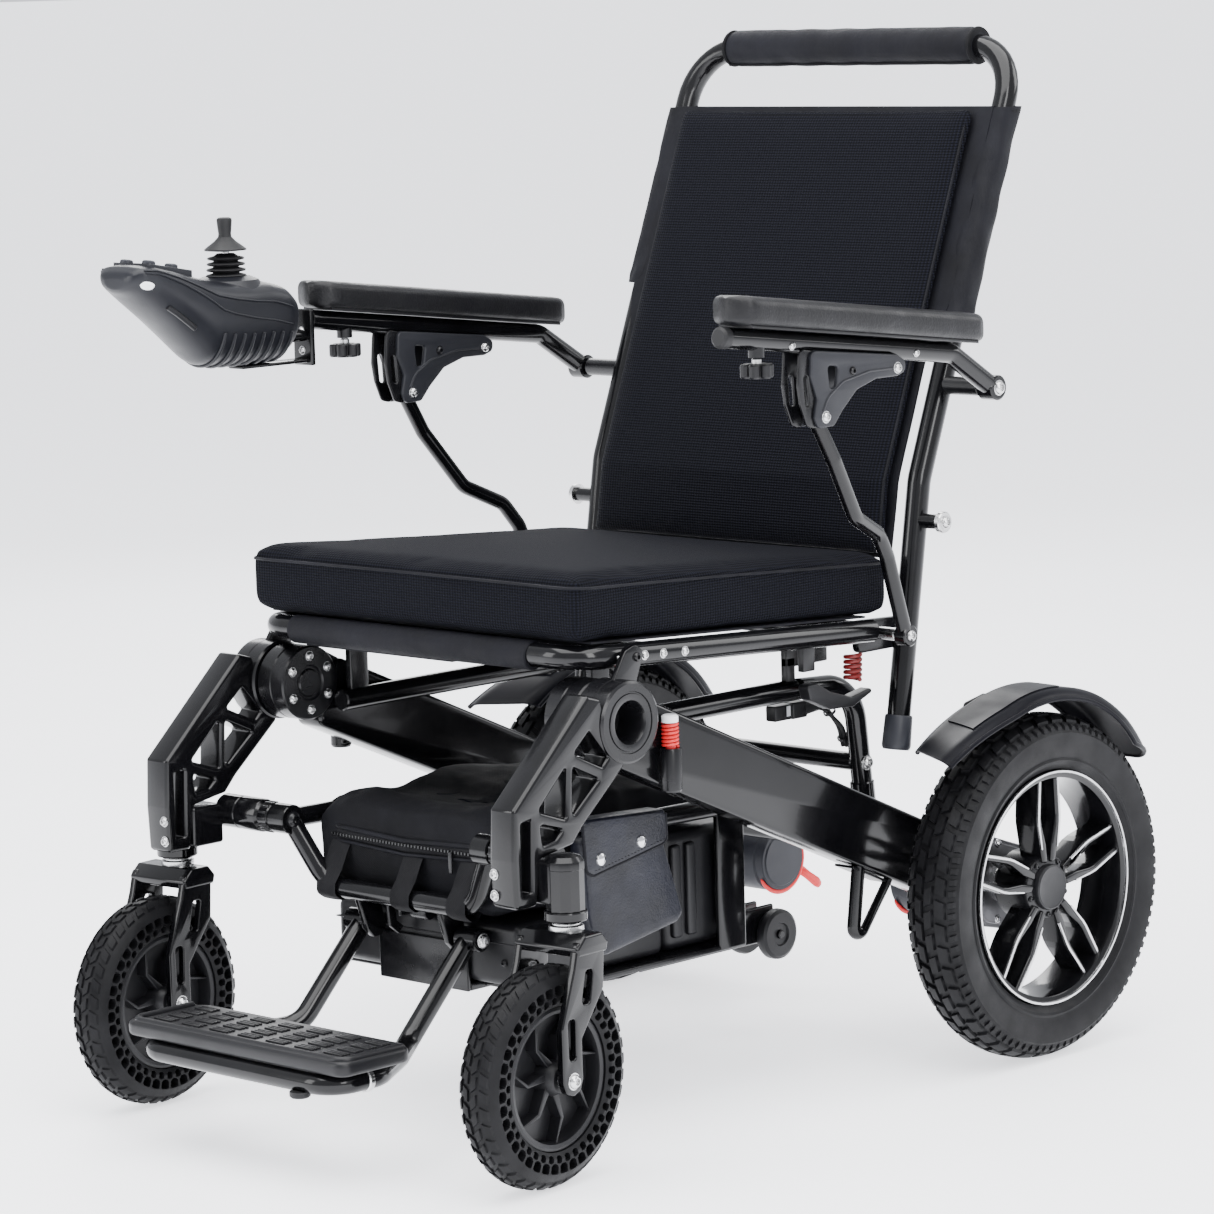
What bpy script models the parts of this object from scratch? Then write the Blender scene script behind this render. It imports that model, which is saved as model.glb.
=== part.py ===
"""Power wheelchair that folds front to back: frame, wheels, seat, arms and hand controller.

Metres, +Z up, the chair faces -Y, the user's left is +X. The origin is on the ground at the
centre of the chair's footprint. Every moving body hangs from an empty on its joint's axis.
"""

from math import atan2, cos, pi, radians, sin, tan

import bmesh
import bpy
from mathutils import Matrix, Vector

# ---- driving dimensions -------------------------------------------------------------------
GAP = 0.0004                        # air between neighbouring pieces
AXLE = Vector((0, 0.2935, 0.159))   # rear axle, and the rear tyre's radius above the ground
REAR_X, REAR_R, REAR_WIDE = 0.2728, 0.159, 0.058
HINGE = Vector((0, -0.1935, 0.372))  # axis of the main fold, through the drums
DRUM_R = 0.036
BEAM_X, BEAM_WIDE, BEAM_HIGH = 0.1825, 0.035, 0.066
ARM_IN, ARM_OUT = 0.2003, 0.2353    # lattice arm, from its inner to its outer face
STEM_X, STEM_Y = 0.2456, -0.289     # caster stem
STEM_LOW, STEM_TOP = 0.2185, 0.275
TRAIL, CASTER_R, CASTER_WIDE = 0.0359, 0.0943, 0.040
CASTER_TURN = radians(4.7)          # how far both casters stand turned at rest
STUB = Vector((0, -0.262, 0.262))   # axis on which the tray hangs from the lattice arms
SEAT_PIN = Vector((0, -0.1685, 0.4235))   # the seat's front pivot, above and behind the drum
BACK_PIN = Vector((0, 0.2085, 0.398))
STRUT_PIN = Vector((0.2265, 0.1735, 0.401))
ARM_PIN = Vector((0, 0.2635, 0.618))
LINK_PIN = Vector((0, 0.188, 0.264))
STEP_PIN = Vector((0, -0.229, 0.172))     # footrest pivot
SEAT_HALF, SEAT_TUBE_R = 0.200, 0.011
POST_X, POST_R, POST_BEND_R = 0.205, 0.0125, 0.052
ARM_X, PAD_X = 0.2575, 0.2610
ARM_TUBE_R = 0.0095
CTRL_X = -0.2560                    # hand controller's middle
BATTERY_TOP = 0.238

SIDES = ((1, "left"), (-1, "right"))


# ---- scene, collections, materials --------------------------------------------------------
for old in list(bpy.data.objects):
    bpy.data.objects.remove(old)

PARTS = bpy.data.collections.new("power_wheelchair")
TOOLS = bpy.data.collections.new("cutters")
for collection in (PARTS, TOOLS):
    bpy.context.scene.collection.children.link(collection)


def material(name, color, roughness, metallic=0.0):
    made = bpy.data.materials.new(name)
    made.use_nodes = True
    shader = made.node_tree.nodes["Principled BSDF"]
    shader.inputs["Base Color"].default_value = (*color, 1)
    shader.inputs["Roughness"].default_value = roughness
    shader.inputs["Metallic"].default_value = metallic
    made.diffuse_color = (*color, 1)
    return made


FRAME_PAINT = material("frame_paint", (0.012, 0.012, 0.014), 0.18)
RUBBER = material("tyre_rubber", (0.030, 0.030, 0.032), 0.75)
ALLOY = material("wheel_alloy", (0.16, 0.16, 0.17), 0.30, 0.8)
PLASTIC = material("black_plastic", (0.022, 0.022, 0.024), 0.45)
GREY_PLASTIC = material("grey_plastic", (0.045, 0.047, 0.052), 0.55)
FABRIC = material("seat_fabric", (0.014, 0.016, 0.030), 0.95)
NYLON = material("nylon", (0.020, 0.020, 0.024), 0.80)
PAD_SKIN = material("pad_skin", (0.020, 0.020, 0.021), 0.60)
RED = material("red_plastic", (0.60, 0.03, 0.03), 0.35)
STEEL = material("bright_steel", (0.60, 0.60, 0.60), 0.25, 1.0)


# ---- shapes -------------------------------------------------------------------------------
def add(name, mesh, collection=TOOLS):
    made = bpy.data.objects.new(name, mesh)
    collection.objects.link(made)
    if collection is TOOLS:
        made.hide_render = True
        made.display_type = "WIRE"
    return made


def shape(fill):
    """A closed helper mesh that fill(bm) draws."""
    bm = bmesh.new()
    fill(bm)
    bmesh.ops.recalc_face_normals(bm, faces=bm.faces)
    mesh = bpy.data.meshes.new("shape")
    bm.to_mesh(mesh)
    bm.free()
    return add("shape", mesh)


def box(low, high, bevel=0.0, turn=0.0):
    """A box between two corners, turned about X through its middle."""
    low, high = Vector(low), Vector(high)

    def fill(bm):
        size = Matrix.Diagonal((*(high - low), 1))
        bmesh.ops.create_cube(bm, size=1, matrix=size)
        if bevel:
            bmesh.ops.bevel(bm, geom=bm.edges[:], offset=bevel, segments=2, affect="EDGES")
        place = Matrix.Translation((low + high) / 2) @ Matrix.Rotation(turn, 4, "X")
        bmesh.ops.transform(bm, matrix=place, verts=bm.verts)
    return shape(fill)


def rod(start, end, radius, sides=14, end_radius=None):
    """A straight round bar, or a cone, from start to end."""
    start, end = Vector(start), Vector(end)
    along = end - start

    def fill(bm):
        place = Matrix.Translation((start + end) / 2) @ along.to_track_quat("Z", "Y").to_matrix().to_4x4()
        bmesh.ops.create_cone(
            bm, cap_ends=True, segments=sides, radius1=radius,
            radius2=radius if end_radius is None else end_radius, depth=along.length, matrix=place)
    return shape(fill)


def taken(curve_object):
    """The mesh helper of a curve, with its caps welded, in place of the curve."""
    bpy.context.view_layer.update()
    graph = bpy.context.evaluated_depsgraph_get()
    mesh = bpy.data.meshes.new_from_object(curve_object.evaluated_get(graph))
    made = add("shape", mesh)
    made.matrix_world = curve_object.matrix_world
    bpy.data.objects.remove(curve_object)
    bm = bmesh.new()
    bm.from_mesh(mesh)
    bmesh.ops.transform(bm, matrix=made.matrix_world, verts=bm.verts)
    bmesh.ops.remove_doubles(bm, verts=bm.verts, dist=1e-6)
    bmesh.ops.recalc_face_normals(bm, faces=bm.faces)
    bm.to_mesh(mesh)
    bm.free()
    made.matrix_world = Matrix.Identity(4)
    return made


def rounded(points, radius, steps=4, closed=False):
    """The points with each corner replaced by a round bend."""
    points = [Vector(p) for p in points]
    count = len(points)
    found = []
    for i, corner in enumerate(points):
        if not closed and i in (0, count - 1):
            found.append(corner)
            continue
        back = points[i - 1] - corner
        ahead = points[(i + 1) % count] - corner
        half = back.angle(ahead) / 2
        if half > pi / 2 - 0.02:
            found.append(corner)
            continue
        reach = min(radius / tan(half), 0.48 * min(back.length, ahead.length))
        bend = reach * tan(half)
        middle = corner + (back.normalized() + ahead.normalized()).normalized() * (bend / sin(half))
        first = corner + back.normalized() * reach - middle
        last = corner + ahead.normalized() * reach - middle
        sweep = first.angle(last)
        for k in range(steps + 1):
            share = k / steps
            turned = (first * sin((1 - share) * sweep) + last * sin(share * sweep)) / sin(sweep)
            found.append(middle + turned)
    return found


def tube(points, radius, bend=0.03, steps=4, resolution=2):
    """A bent tube as a beveled curve with filled caps."""
    data = bpy.data.curves.new("path", "CURVE")
    data.dimensions = "3D"
    data.bevel_depth = radius
    data.bevel_resolution = resolution
    data.use_fill_caps = True
    path = rounded(points, bend, steps)
    spline = data.splines.new("POLY")
    spline.points.add(len(path) - 1)
    for point, place in zip(spline.points, path):
        point.co = (*place, 1)
    return taken(add("path", data))


def plate(outline, x_low, x_high, corner=0.0, steps=3):
    """A flat outline in the YZ plane, given thickness along X."""
    points = [Vector((y, z, 0)) for y, z in outline]
    if corner:
        points = rounded(points, corner, steps, closed=True)
    data = bpy.data.curves.new("outline", "CURVE")
    data.dimensions = "2D"
    data.fill_mode = "BOTH"
    data.extrude = (x_high - x_low) / 2
    spline = data.splines.new("POLY")
    spline.points.add(len(points) - 1)
    spline.use_cyclic_u = True
    for point, place in zip(spline.points, points):
        point.co = (*place, 1)
    made = add("outline", data)
    upright = Matrix(((0, 0, 1, 0), (1, 0, 0, 0), (0, 1, 0, 0), (0, 0, 0, 1)))
    made.matrix_world = Matrix.Translation(((x_low + x_high) / 2, 0, 0)) @ upright
    return taken(made)


def turned(profile, centre, steps=24, axis=(1, 0, 0)):
    """A ring or disc: the (radius, along) profile turned about an axis through centre."""
    bm = bmesh.new()
    verts = [bm.verts.new((radius, 0, along)) for radius, along in profile]
    edges = [bm.edges.new(pair) for pair in zip(verts, verts[1:])]
    if profile[0][0] > 0 or profile[-1][0] > 0:
        edges.append(bm.edges.new((verts[-1], verts[0])))
    mesh = bpy.data.meshes.new("profile")
    bm.to_mesh(mesh)
    bm.free()
    made = add("profile", mesh)
    screw = made.modifiers.new("turn", "SCREW")
    screw.steps = screw.render_steps = steps
    screw.use_merge_vertices = True
    screw.merge_threshold = 1e-5
    made.matrix_world = (Matrix.Translation(centre)
                         @ Vector(axis).to_track_quat("Z", "Y").to_matrix().to_4x4())
    return taken(made)


def fuse(name, look, shapes, cuts=()):
    """One named part: the shapes joined, then the cuts taken out."""
    part = add(name, shapes[0].data, PARTS)
    bpy.data.objects.remove(shapes[0])
    for kind, helpers in (("UNION", shapes[1:]), ("DIFFERENCE", cuts)):
        for helper in helpers:
            modifier = part.modifiers.new(kind.lower(), "BOOLEAN")
            modifier.operation = kind
            modifier.object = helper
    bpy.context.view_layer.update()
    graph = bpy.context.evaluated_depsgraph_get()
    mesh = bpy.data.meshes.new_from_object(part.evaluated_get(graph))
    part.modifiers.clear()
    part.data = mesh
    for helper in (*shapes[1:], *cuts):
        bpy.data.objects.remove(helper)
    mesh.name = name
    mesh.materials.clear()
    mesh.materials.append(look)
    mesh.shade_smooth()
    mesh.set_sharp_from_angle(angle=radians(35))
    return part


def moved(helpers, matrix):
    for helper in helpers:
        helper.data.transform(matrix)
    return helpers


def pivot(name, place, parent=None):
    """An empty on a joint's axis, which carries the pieces of one moving body."""
    made = bpy.data.objects.new(name, None)
    made.empty_display_size = 0.03
    PARTS.objects.link(made)
    made.parent = parent
    made.location = Vector(place) - (Vector(parent["place"]) if parent else Vector())
    made["place"] = tuple(place)
    return made


def hang(parts, empty):
    """Gives the parts their origin on the empty, without moving them."""
    place = Vector(empty["place"])
    for part in parts:
        part.data.transform(Matrix.Translation(-place))
        part.parent = empty


def at(x, place):
    return Vector((x, place[1], place[2]))


# ---- rear frame ---------------------------------------------------------------------------
def beam_point(along, above):
    """A (y, z) point at a share of the way from the hinge to the axle, above the middle line."""
    run = AXLE - HINGE
    square = Vector((0, -run.z, run.y)).normalized()
    place = HINGE + run * along + square * above
    return place.y, place.z


def main_beam(side, word):
    inner, outer = side * (BEAM_X - BEAM_WIDE / 2), side * (BEAM_X + BEAM_WIDE / 2 - GAP)
    low, high = sorted((inner, outer))
    half = BEAM_HIGH / 2
    bar = plate([beam_point(0.02, half), beam_point(0.97, half * 0.9), beam_point(1.02, 0),
                 beam_point(0.97, -half * 0.9), beam_point(0.02, -half)], low, high, 0.006, 2)
    drum = rod(at(low - 0.0015 * (side > 0), HINGE), at(high + 0.0015 * (side < 0), HINGE), DRUM_R - 0.0022, 28)
    hub = rod(at(low, AXLE), at(high, AXLE), 0.036, 20)
    loop_x = side * 0.190
    loop = tube([(loop_x, 0.146, 0.206), (loop_x, 0.136, 0.131), (loop_x, 0.146, 0.127),
                 (loop_x, 0.192, 0.180)], 0.0055, 0.006, 2)
    guide_x = side * 0.2085
    guide = rod((guide_x, -0.118, 0.300), (guide_x, -0.118, 0.337), 0.0095, 14)
    bore = rod((guide_x, -0.118, 0.306), (guide_x, -0.118, 0.350), 0.0058, 12)
    return fuse("main_beam_" + word, FRAME_PAINT, [bar, drum, hub, loop, guide], [bore])


def lock_plunger(side, word):
    x, y = side * 0.2085, -0.118
    stem = rod((x, y, 0.3075), (x, y, 0.362), 0.0050, 12)
    cap = rod((x, y, 0.360), (x, y, 0.3665), 0.0078, 14)
    return fuse("lock_plunger_" + word, STEEL, [stem, cap])


def rear_cross_tube():
    end = BEAM_X - BEAM_WIDE / 2 - GAP
    y, z = AXLE.y + 0.002, AXLE.z + 0.019
    return fuse("rear_cross_tube", FRAME_PAINT, [rod((-end, y, z), (end, y, z), 0.0125, 16)])


def motor(side, word):
    axis_y, axis_z = AXLE.y + 0.050, AXLE.z - 0.024
    casing = plate([(axis_y + 0.040, axis_z - 0.020), (axis_y + 0.030, axis_z + 0.036),
                    (AXLE.y - 0.020, AXLE.z + 0.046), (AXLE.y - 0.046, AXLE.z),
                    (AXLE.y - 0.026, AXLE.z - 0.040), (axis_y + 0.010, axis_z - 0.036)],
                   *sorted((side * 0.2003, side * 0.2420)), 0.016, 3)
    body = rod((side * 0.0900, axis_y, axis_z), (side * 0.2100, axis_y, axis_z), 0.0320, 22)
    ring = rod((side * 0.0800, axis_y, axis_z), (side * 0.0905, axis_y, axis_z), 0.0290, 22)
    beam_room = rod((side * 0.1500, AXLE.y, AXLE.z), (side * 0.2001, AXLE.y, AXLE.z), 0.0366, 20)
    return fuse("motor_" + word, PLASTIC, [body, ring, casing], [beam_room])


def clutch_lever(side, word):
    axis_y, axis_z = AXLE.y + 0.050, AXLE.z - 0.024
    inner = side * 0.0888
    low, high = sorted((inner - side * 0.0070, inner))
    hoop = rod((low, axis_y, axis_z), (high, axis_y, axis_z), 0.0345, 24)
    tip = Vector(((low + high) / 2, axis_y + 0.052, axis_z - 0.034))
    grip = rod(((low + high) / 2, axis_y + 0.022, axis_z - 0.016), tip, 0.0030, 8)
    blade = plate([(axis_y + 0.026, axis_z - 0.010), (axis_y + 0.056, axis_z - 0.030),
                   (axis_y + 0.050, axis_z - 0.041), (axis_y + 0.018, axis_z - 0.023)],
                  low + 0.0005, high - 0.0005, 0.005, 2)
    hole = rod((low - 0.01, axis_y, axis_z), (high + 0.01, axis_y, axis_z), 0.0296, 24)
    return fuse("clutch_lever_" + word, RED, [hoop, grip, blade], [hole])


def fender(side, word):
    """A mudguard arch, whose front runs out into a flat lip."""
    outer, inner = [], []
    for k in range(11):
        angle = radians(135 - 10.2 * k)
        radius = 0.187 + 0.029 * max(0.0, (angle - radians(95)) / radians(40)) ** 1.5
        for ring, reach in ((outer, radius), (inner, radius - 0.004)):
            ring.append((AXLE.y + reach * cos(angle), AXLE.z + reach * sin(angle)))
    arch = plate(outer + inner[::-1], *sorted((side * 0.2385, side * 0.3050)))
    foot = plate([(AXLE.y - 0.062, 0.2065), (AXLE.y - 0.018, 0.2065), (AXLE.y - 0.022, 0.3440),
                  (AXLE.y - 0.058, 0.3370)], *sorted((side * 0.2387, side * 0.2415)))
    shelf = plate([(AXLE.y - 0.062, 0.207), (AXLE.y - 0.018, 0.207), (AXLE.y - 0.018, 0.225),
                   (AXLE.y - 0.062, 0.236)], *sorted((side * 0.2003, side * 0.2400)))
    return fuse("fender_" + word, PLASTIC, [arch, foot, shelf])


# ---- wheels -------------------------------------------------------------------------------
def tyre_profile(radius, wide, bead):
    half = wide / 2
    crown, shoulder = radius, radius - 0.012
    return [(bead, half * 0.72), (shoulder - 0.010, half), (shoulder + 0.004, half * 0.92),
            (crown, half * 0.55), (crown, -half * 0.55), (shoulder + 0.004, -half * 0.92),
            (shoulder - 0.010, -half), (bead, -half * 0.72)]


def rear_wheel(side, word):
    centre = Vector((side * REAR_X, AXLE.y, AXLE.z))
    tyre = fuse("rear_tyre_" + word, RUBBER,
                [turned(tyre_profile(REAR_R, REAR_WIDE, 0.1086), centre, 36)])
    rim = turned(rim_profile(0.1082, 0.0240, 0.0310, 0.0262), centre, 30)
    holes = []
    for k in range(5):
        angle = radians(90 + 72 * k + 36)
        outline = []
        for radius, spread in ((0.042, 0.34), (0.0935, 0.46), (0.0935, -0.46), (0.042, -0.34)):
            outline.append((AXLE.y + radius * cos(angle + spread), AXLE.z + radius * sin(angle + spread)))
        holes.append(plate(outline, centre.x - 0.04, centre.x + 0.04, 0.008, 2))
    return tyre, fuse("rear_rim_" + word, ALLOY, [rim], holes)


def rim_profile(radius, half_wide, hub, hub_half):
    """Half the rim's section, from the axis out to the bead and back: hub, web and channel."""
    return [(0, hub_half), (hub, hub_half), (hub, 0.0070), (radius - 0.010, 0.0055),
            (radius - 0.006, half_wide), (radius, half_wide), (radius, -half_wide),
            (radius - 0.006, -half_wide), (radius - 0.010, -0.0055), (hub, -0.0070),
            (hub, -hub_half), (0, -hub_half)]


def caster(side, word):
    """Fork, tyre and rim, drawn straight ahead of the stem and then turned about it."""
    stem = Vector((side * STEM_X, STEM_Y, 0))
    hub = Vector((stem.x, stem.y - TRAIL, CASTER_R))
    tyre = [turned(tyre_profile(CASTER_R, CASTER_WIDE, 0.0610), hub, 30)]
    rim = [turned(rim_profile(0.0606, 0.0165, 0.0150, 0.0215), hub, 24)]
    holes = []
    for k in range(6):
        angle = radians(60 * k)
        place = hub + Vector((0, 0.0335 * cos(angle), 0.0335 * sin(angle)))
        holes.append(rod(place - Vector((0.03, 0, 0)), place + Vector((0.03, 0, 0)), 0.0115, 10))
    crown_y = stem.y - 0.006
    crown = box((stem.x - 0.0350, crown_y - 0.021, 0.1960), (stem.x + 0.0350, crown_y + 0.019, 0.2130), 0.004)
    neck = rod((stem.x, stem.y, 0.2100), (stem.x, stem.y, STEM_LOW - GAP), 0.0130, 16)
    legs = []
    for edge in (-1, 1):
        x = stem.x + edge * 0.0300
        legs.append(plate([(stem.y + 0.008, 0.2070), (stem.y - 0.023, 0.2070), (hub.y - 0.014, 0.150),
                           (hub.y - 0.013, 0.083), (hub.y + 0.013, 0.083), (hub.y + 0.013, 0.130)],
                          x - 0.0034, x + 0.0034, 0.007, 3))
    axle = [rod(hub + Vector((edge * 0.0219, 0, 0)), hub + Vector((edge * 0.0290, 0, 0)), 0.0095, 14)
            for edge in (-1, 1)]
    turn = (Matrix.Translation(stem) @ Matrix.Rotation(CASTER_TURN, 4, "Z") @ Matrix.Translation(-stem))
    moved(tyre + rim + holes + [crown, neck] + legs + axle, turn)
    return (fuse("fork_" + word, FRAME_PAINT, [crown, neck, *legs, *axle]),
            fuse("caster_tyre_" + word, RUBBER, tyre),
            fuse("caster_rim_" + word, PLASTIC, rim, holes), turn @ hub)


# ---- front frame --------------------------------------------------------------------------
def lattice_arm(side, word):
    low, high = sorted((side * ARM_IN, side * ARM_OUT))
    web_low, web_high = sorted((side * 0.2060, side * 0.2300))
    outer = plate([(-0.226, 0.393), (-0.335, 0.318), (-0.335, 0.234), (-0.262, 0.234),
                   (-0.252, 0.290), (-0.196, 0.338)], web_low, web_high, 0.006, 2)
    windows = [plate(points, web_low - 0.01, web_high + 0.01, 0.003, 2) for points in (
        [(-0.240, 0.366), (-0.256, 0.353), (-0.228, 0.341), (-0.222, 0.346)],
        [(-0.266, 0.347), (-0.302, 0.317), (-0.270, 0.304)],
        [(-0.259, 0.341), (-0.229, 0.328), (-0.259, 0.303)],
        [(-0.320, 0.305), (-0.320, 0.246), (-0.311, 0.246), (-0.311, 0.307)])]
    drum = rod(at(low, HINGE), at(high, HINGE), DRUM_R, 28)
    well = rod(at(side * 0.2230, HINGE), at(side * 0.2500, HINGE), 0.0170, 20)
    lug = plate([(-0.205, 0.395), (-0.180, 0.431), (-0.166, 0.436), (-0.156, 0.426), (-0.176, 0.385)],
                *sorted((side * 0.2140, side * 0.2200)), 0.006, 2)
    clamp = box((min(low, side * 0.2500), -0.307, 0.2345), (max(high, side * 0.2500), -0.271, 0.2700), 0.003)
    housing = rod((side * STEM_X, STEM_Y, STEM_LOW), (side * STEM_X, STEM_Y, STEM_TOP), 0.0175, 20)
    stub = rod(at(side * 0.1425, STUB), at(side * 0.2100, STUB), 0.0150, 16)
    collar = rod(at(side * 0.1390, STUB), at(side * 0.1540, STUB), 0.0120, 14)
    return fuse("lattice_arm_" + word, FRAME_PAINT,
                [outer, drum, lug, clamp, housing, stub, collar], [*windows, well])


# ---- tray under the seat ------------------------------------------------------------------
TRAY_X, TRAY_R = 0.1270, 0.0090
ROLLER = Vector((0, 0.2200, 0.0945))


def tray_frame():
    rear_y, front_y = 0.046, STUB.y
    side_rails = tube([(TRAY_X, front_y, STUB.z), (TRAY_X, rear_y, 0.256), (-TRAY_X, rear_y, 0.256),
                       (-TRAY_X, front_y, STUB.z)], TRAY_R, 0.03, 3)
    hoop = tube([(TRAY_X, front_y + 0.004, STUB.z), (0.092, front_y + 0.016, 0.203),
                 (-0.092, front_y + 0.016, 0.203), (-TRAY_X, front_y + 0.004, STUB.z)], TRAY_R, 0.03, 3)
    ears = [rod(at(side * 0.1180, STUB), at(side * 0.1385, STUB), 0.0135, 14) for side in (1, -1)]
    lugs = [plate([(-0.238, 0.207), (-0.254, 0.207), (-0.240, 0.172), (-0.234, 0.160), (-0.224, 0.160),
                   (-0.219, 0.172), (-0.224, 0.190)], *sorted((side * 0.0480, side * 0.0550)))
            for side in (1, -1)]
    pins = [rod((side * 0.0500, STEP_PIN.y, STEP_PIN.z), (side * 0.0850, STEP_PIN.y, STEP_PIN.z), 0.0045, 12)
            for side in (1, -1)]
    drops = [box((side * 0.1240 - 0.0032, 0.026, 0.1240), (side * 0.1240 + 0.0032, 0.062, 0.2580))
             for side in (1, -1)]
    floor = box((-0.1270, -0.2000, 0.1235), (0.1270, 0.0620, 0.1295))
    nose = box((-0.0560, -0.2180, 0.1215), (0.0560, -0.1900, 0.1295))
    front = box((-0.0560, -0.2215, 0.1215), (0.0560, -0.2175, 0.1650))
    booms = [box((x - 0.003, 0.040, 0.083), (x + 0.003, 0.226, 0.1270)) for x in (-0.0175, 0.0175)]
    axle = rod((-0.0205, ROLLER.y, ROLLER.z), (0.0205, ROLLER.y, ROLLER.z), 0.0046, 12)
    return fuse("tray_frame", FRAME_PAINT,
                [side_rails, hoop, *ears, *lugs, *pins, *drops, floor, nose, front, *booms, axle])


def battery_pack():
    core = box((-0.1140, -0.0300, 0.1300), (0.1140, 0.0740, BATTERY_TOP))
    ribs = [box((side * 0.1160 - 0.003, y - 0.0065, 0.142), (side * 0.1160 + 0.003, y + 0.0065, 0.228))
            for y in (-0.018, 0.001, 0.048) for side in (1, -1)]
    handle = tube([(-0.035, 0.070, 0.205), (-0.035, 0.094, 0.205), (0.035, 0.094, 0.205),
                   (0.035, 0.070, 0.205)], 0.0050, 0.010, 2)
    return fuse("battery_pack", PLASTIC, [core, *ribs, handle])


def control_box():
    return fuse("control_box", PLASTIC, [box((-0.1150, -0.2170, 0.1300), (0.1150, -0.0330, 0.1860), 0.006)])


def storage_bag():
    return fuse("storage_bag", NYLON, [box((-0.1130, -0.2320, 0.2100), (0.1130, 0.0250, 0.2900), 0.012)],
                [box((-0.2, -0.0320, 0.20), (0.2, 0.1, 0.2400))])


def side_pouch():
    return fuse("side_pouch", NYLON, [plate([(-0.190, 0.282), (-0.075, 0.272), (-0.070, 0.168),
                                             (-0.172, 0.156)], 0.1385, 0.1625, 0.010, 2)])


def trolley_roller():
    return fuse("trolley_roller", PLASTIC, [turned(
        [(0.0050, 0.0140), (0.0240, 0.0120), (0.0240, -0.0120), (0.0050, -0.0140)], ROLLER, 22)])


# ---- footrest -----------------------------------------------------------------------------
def footrest_frame():
    legs = tube([(0.0670, STEP_PIN.y, STEP_PIN.z), (0.0670, -0.3080, 0.0920), (0.0850, -0.3340, 0.0890),
                 (0.1200, -0.3900, 0.0890), (0.1200, -0.4430, 0.0890), (-0.1200, -0.4430, 0.0890),
                 (-0.1200, -0.3900, 0.0890), (-0.0850, -0.3340, 0.0890), (-0.0670, -0.3080, 0.0920),
                 (-0.0670, STEP_PIN.y, STEP_PIN.z)], 0.0095, 0.022, 3)
    eyes = [rod((x - 0.0130, STEP_PIN.y, STEP_PIN.z), (x + 0.0130, STEP_PIN.y, STEP_PIN.z), 0.0105, 16)
            for x in (0.0700, -0.0700)]
    bores = [rod((x - 0.0300, STEP_PIN.y, STEP_PIN.z), (x + 0.0300, STEP_PIN.y, STEP_PIN.z), 0.0049, 12)
             for x in (0.0700, -0.0700)]
    return fuse("footrest_frame", FRAME_PAINT, [legs, *eyes], bores)


def footplate():
    low, high, half = 0.0992, 0.1130, 0.1400
    body = box((-half, -0.4500, low), (half, -0.3620, high), 0.0055)
    lip = box((-half + 0.004, -0.4490, high - 0.004), (half - 0.004, -0.4420, high + 0.0035), 0.0012)
    corner_cuts = [box((side * 0.1480 - 0.022, -0.3700, 0.09), (side * 0.1480 + 0.022, -0.3500, 0.13))
                   for side in (1, -1)]
    return fuse("footplate", PLASTIC, [body, lip], corner_cuts)


# ---- seat ---------------------------------------------------------------------------------
def seat_z(y):
    """Height of the seat tubes' middle line, which drops towards the back."""
    return 0.429 - 0.055 * (y + 0.277)


def seat_frame():
    front, rear = -0.216, 0.158
    hoop = tube([(SEAT_HALF, rear, seat_z(rear)), (SEAT_HALF, front, seat_z(front)),
                 (-SEAT_HALF, front, seat_z(front)), (-SEAT_HALF, rear, seat_z(rear))],
                SEAT_TUBE_R, 0.035, 4)
    crossings = [rod((-SEAT_HALF, y, seat_z(y)), (SEAT_HALF, y, seat_z(y)), 0.0095, 12) for y in (-0.150, 0.142)]
    rails, posts, hinges, latches = [], [], [], []
    for side in (1, -1):
        x = side * 0.1520
        rails.append(rod((x, -0.168, 0.3540), (x, 0.106, 0.3540), 0.0100, 12))
        posts.append(box((x - 0.004, -0.158, 0.3540), (x + 0.004, -0.136, seat_z(-0.15))))
        posts.append(box((x - 0.004, 0.092, 0.3540), (x + 0.004, 0.104, 0.385)))
        posts.append(box((x - 0.004, 0.092, 0.3750), (x + 0.004, 0.148, 0.3960)))
        hinges.append(plate([(0.150, 0.383), (0.208, 0.383), (0.222, 0.398), (0.208, 0.4120), (0.150, 0.4145)],
                            *sorted((side * 0.1830, side * 0.1918)), 0.006, 2))
        latches.append(box((side * 0.1920 - 0.004, 0.070, 0.3770), (side * 0.1920 + 0.004, 0.086, 0.405)))
    shanks = [rod((side * 0.1850, STRUT_PIN.y, STRUT_PIN.z), (side * 0.2180, STRUT_PIN.y, STRUT_PIN.z), 0.0060, 12)
              for side in (1, -1)]
    return fuse("seat_frame", FRAME_PAINT, [hoop, *crossings, *rails, *posts, *hinges, *latches, *shanks])


def seat_pan():
    """The stretched base cloth between the seat tubes."""
    front, rear = -0.203, 0.150
    half = SEAT_HALF - 0.0045
    return fuse("seat_pan", NYLON, [plate(
        [(front, seat_z(front) + SEAT_TUBE_R + 0.0006), (rear, seat_z(rear) + SEAT_TUBE_R + 0.0006),
         (rear, seat_z(rear) + SEAT_TUBE_R + 0.0030), (front, seat_z(front) + SEAT_TUBE_R + 0.0030)],
        -half - 0.008, half + 0.008)])


def seat_cushion():
    front, rear, half = -0.2240, 0.1800, 0.2030
    lift = SEAT_TUBE_R + 0.0036
    top_front, top_rear = 0.4920, 0.4740
    return fuse("seat_cushion", FABRIC, [plate(
        [(front, seat_z(front) + lift), (front - 0.002, top_front - 0.012), (front + 0.014, top_front),
         (rear - 0.012, top_rear), (rear, top_rear - 0.010), (rear - 0.006, seat_z(rear - 0.006) + lift)],
        -half, half)])


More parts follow.
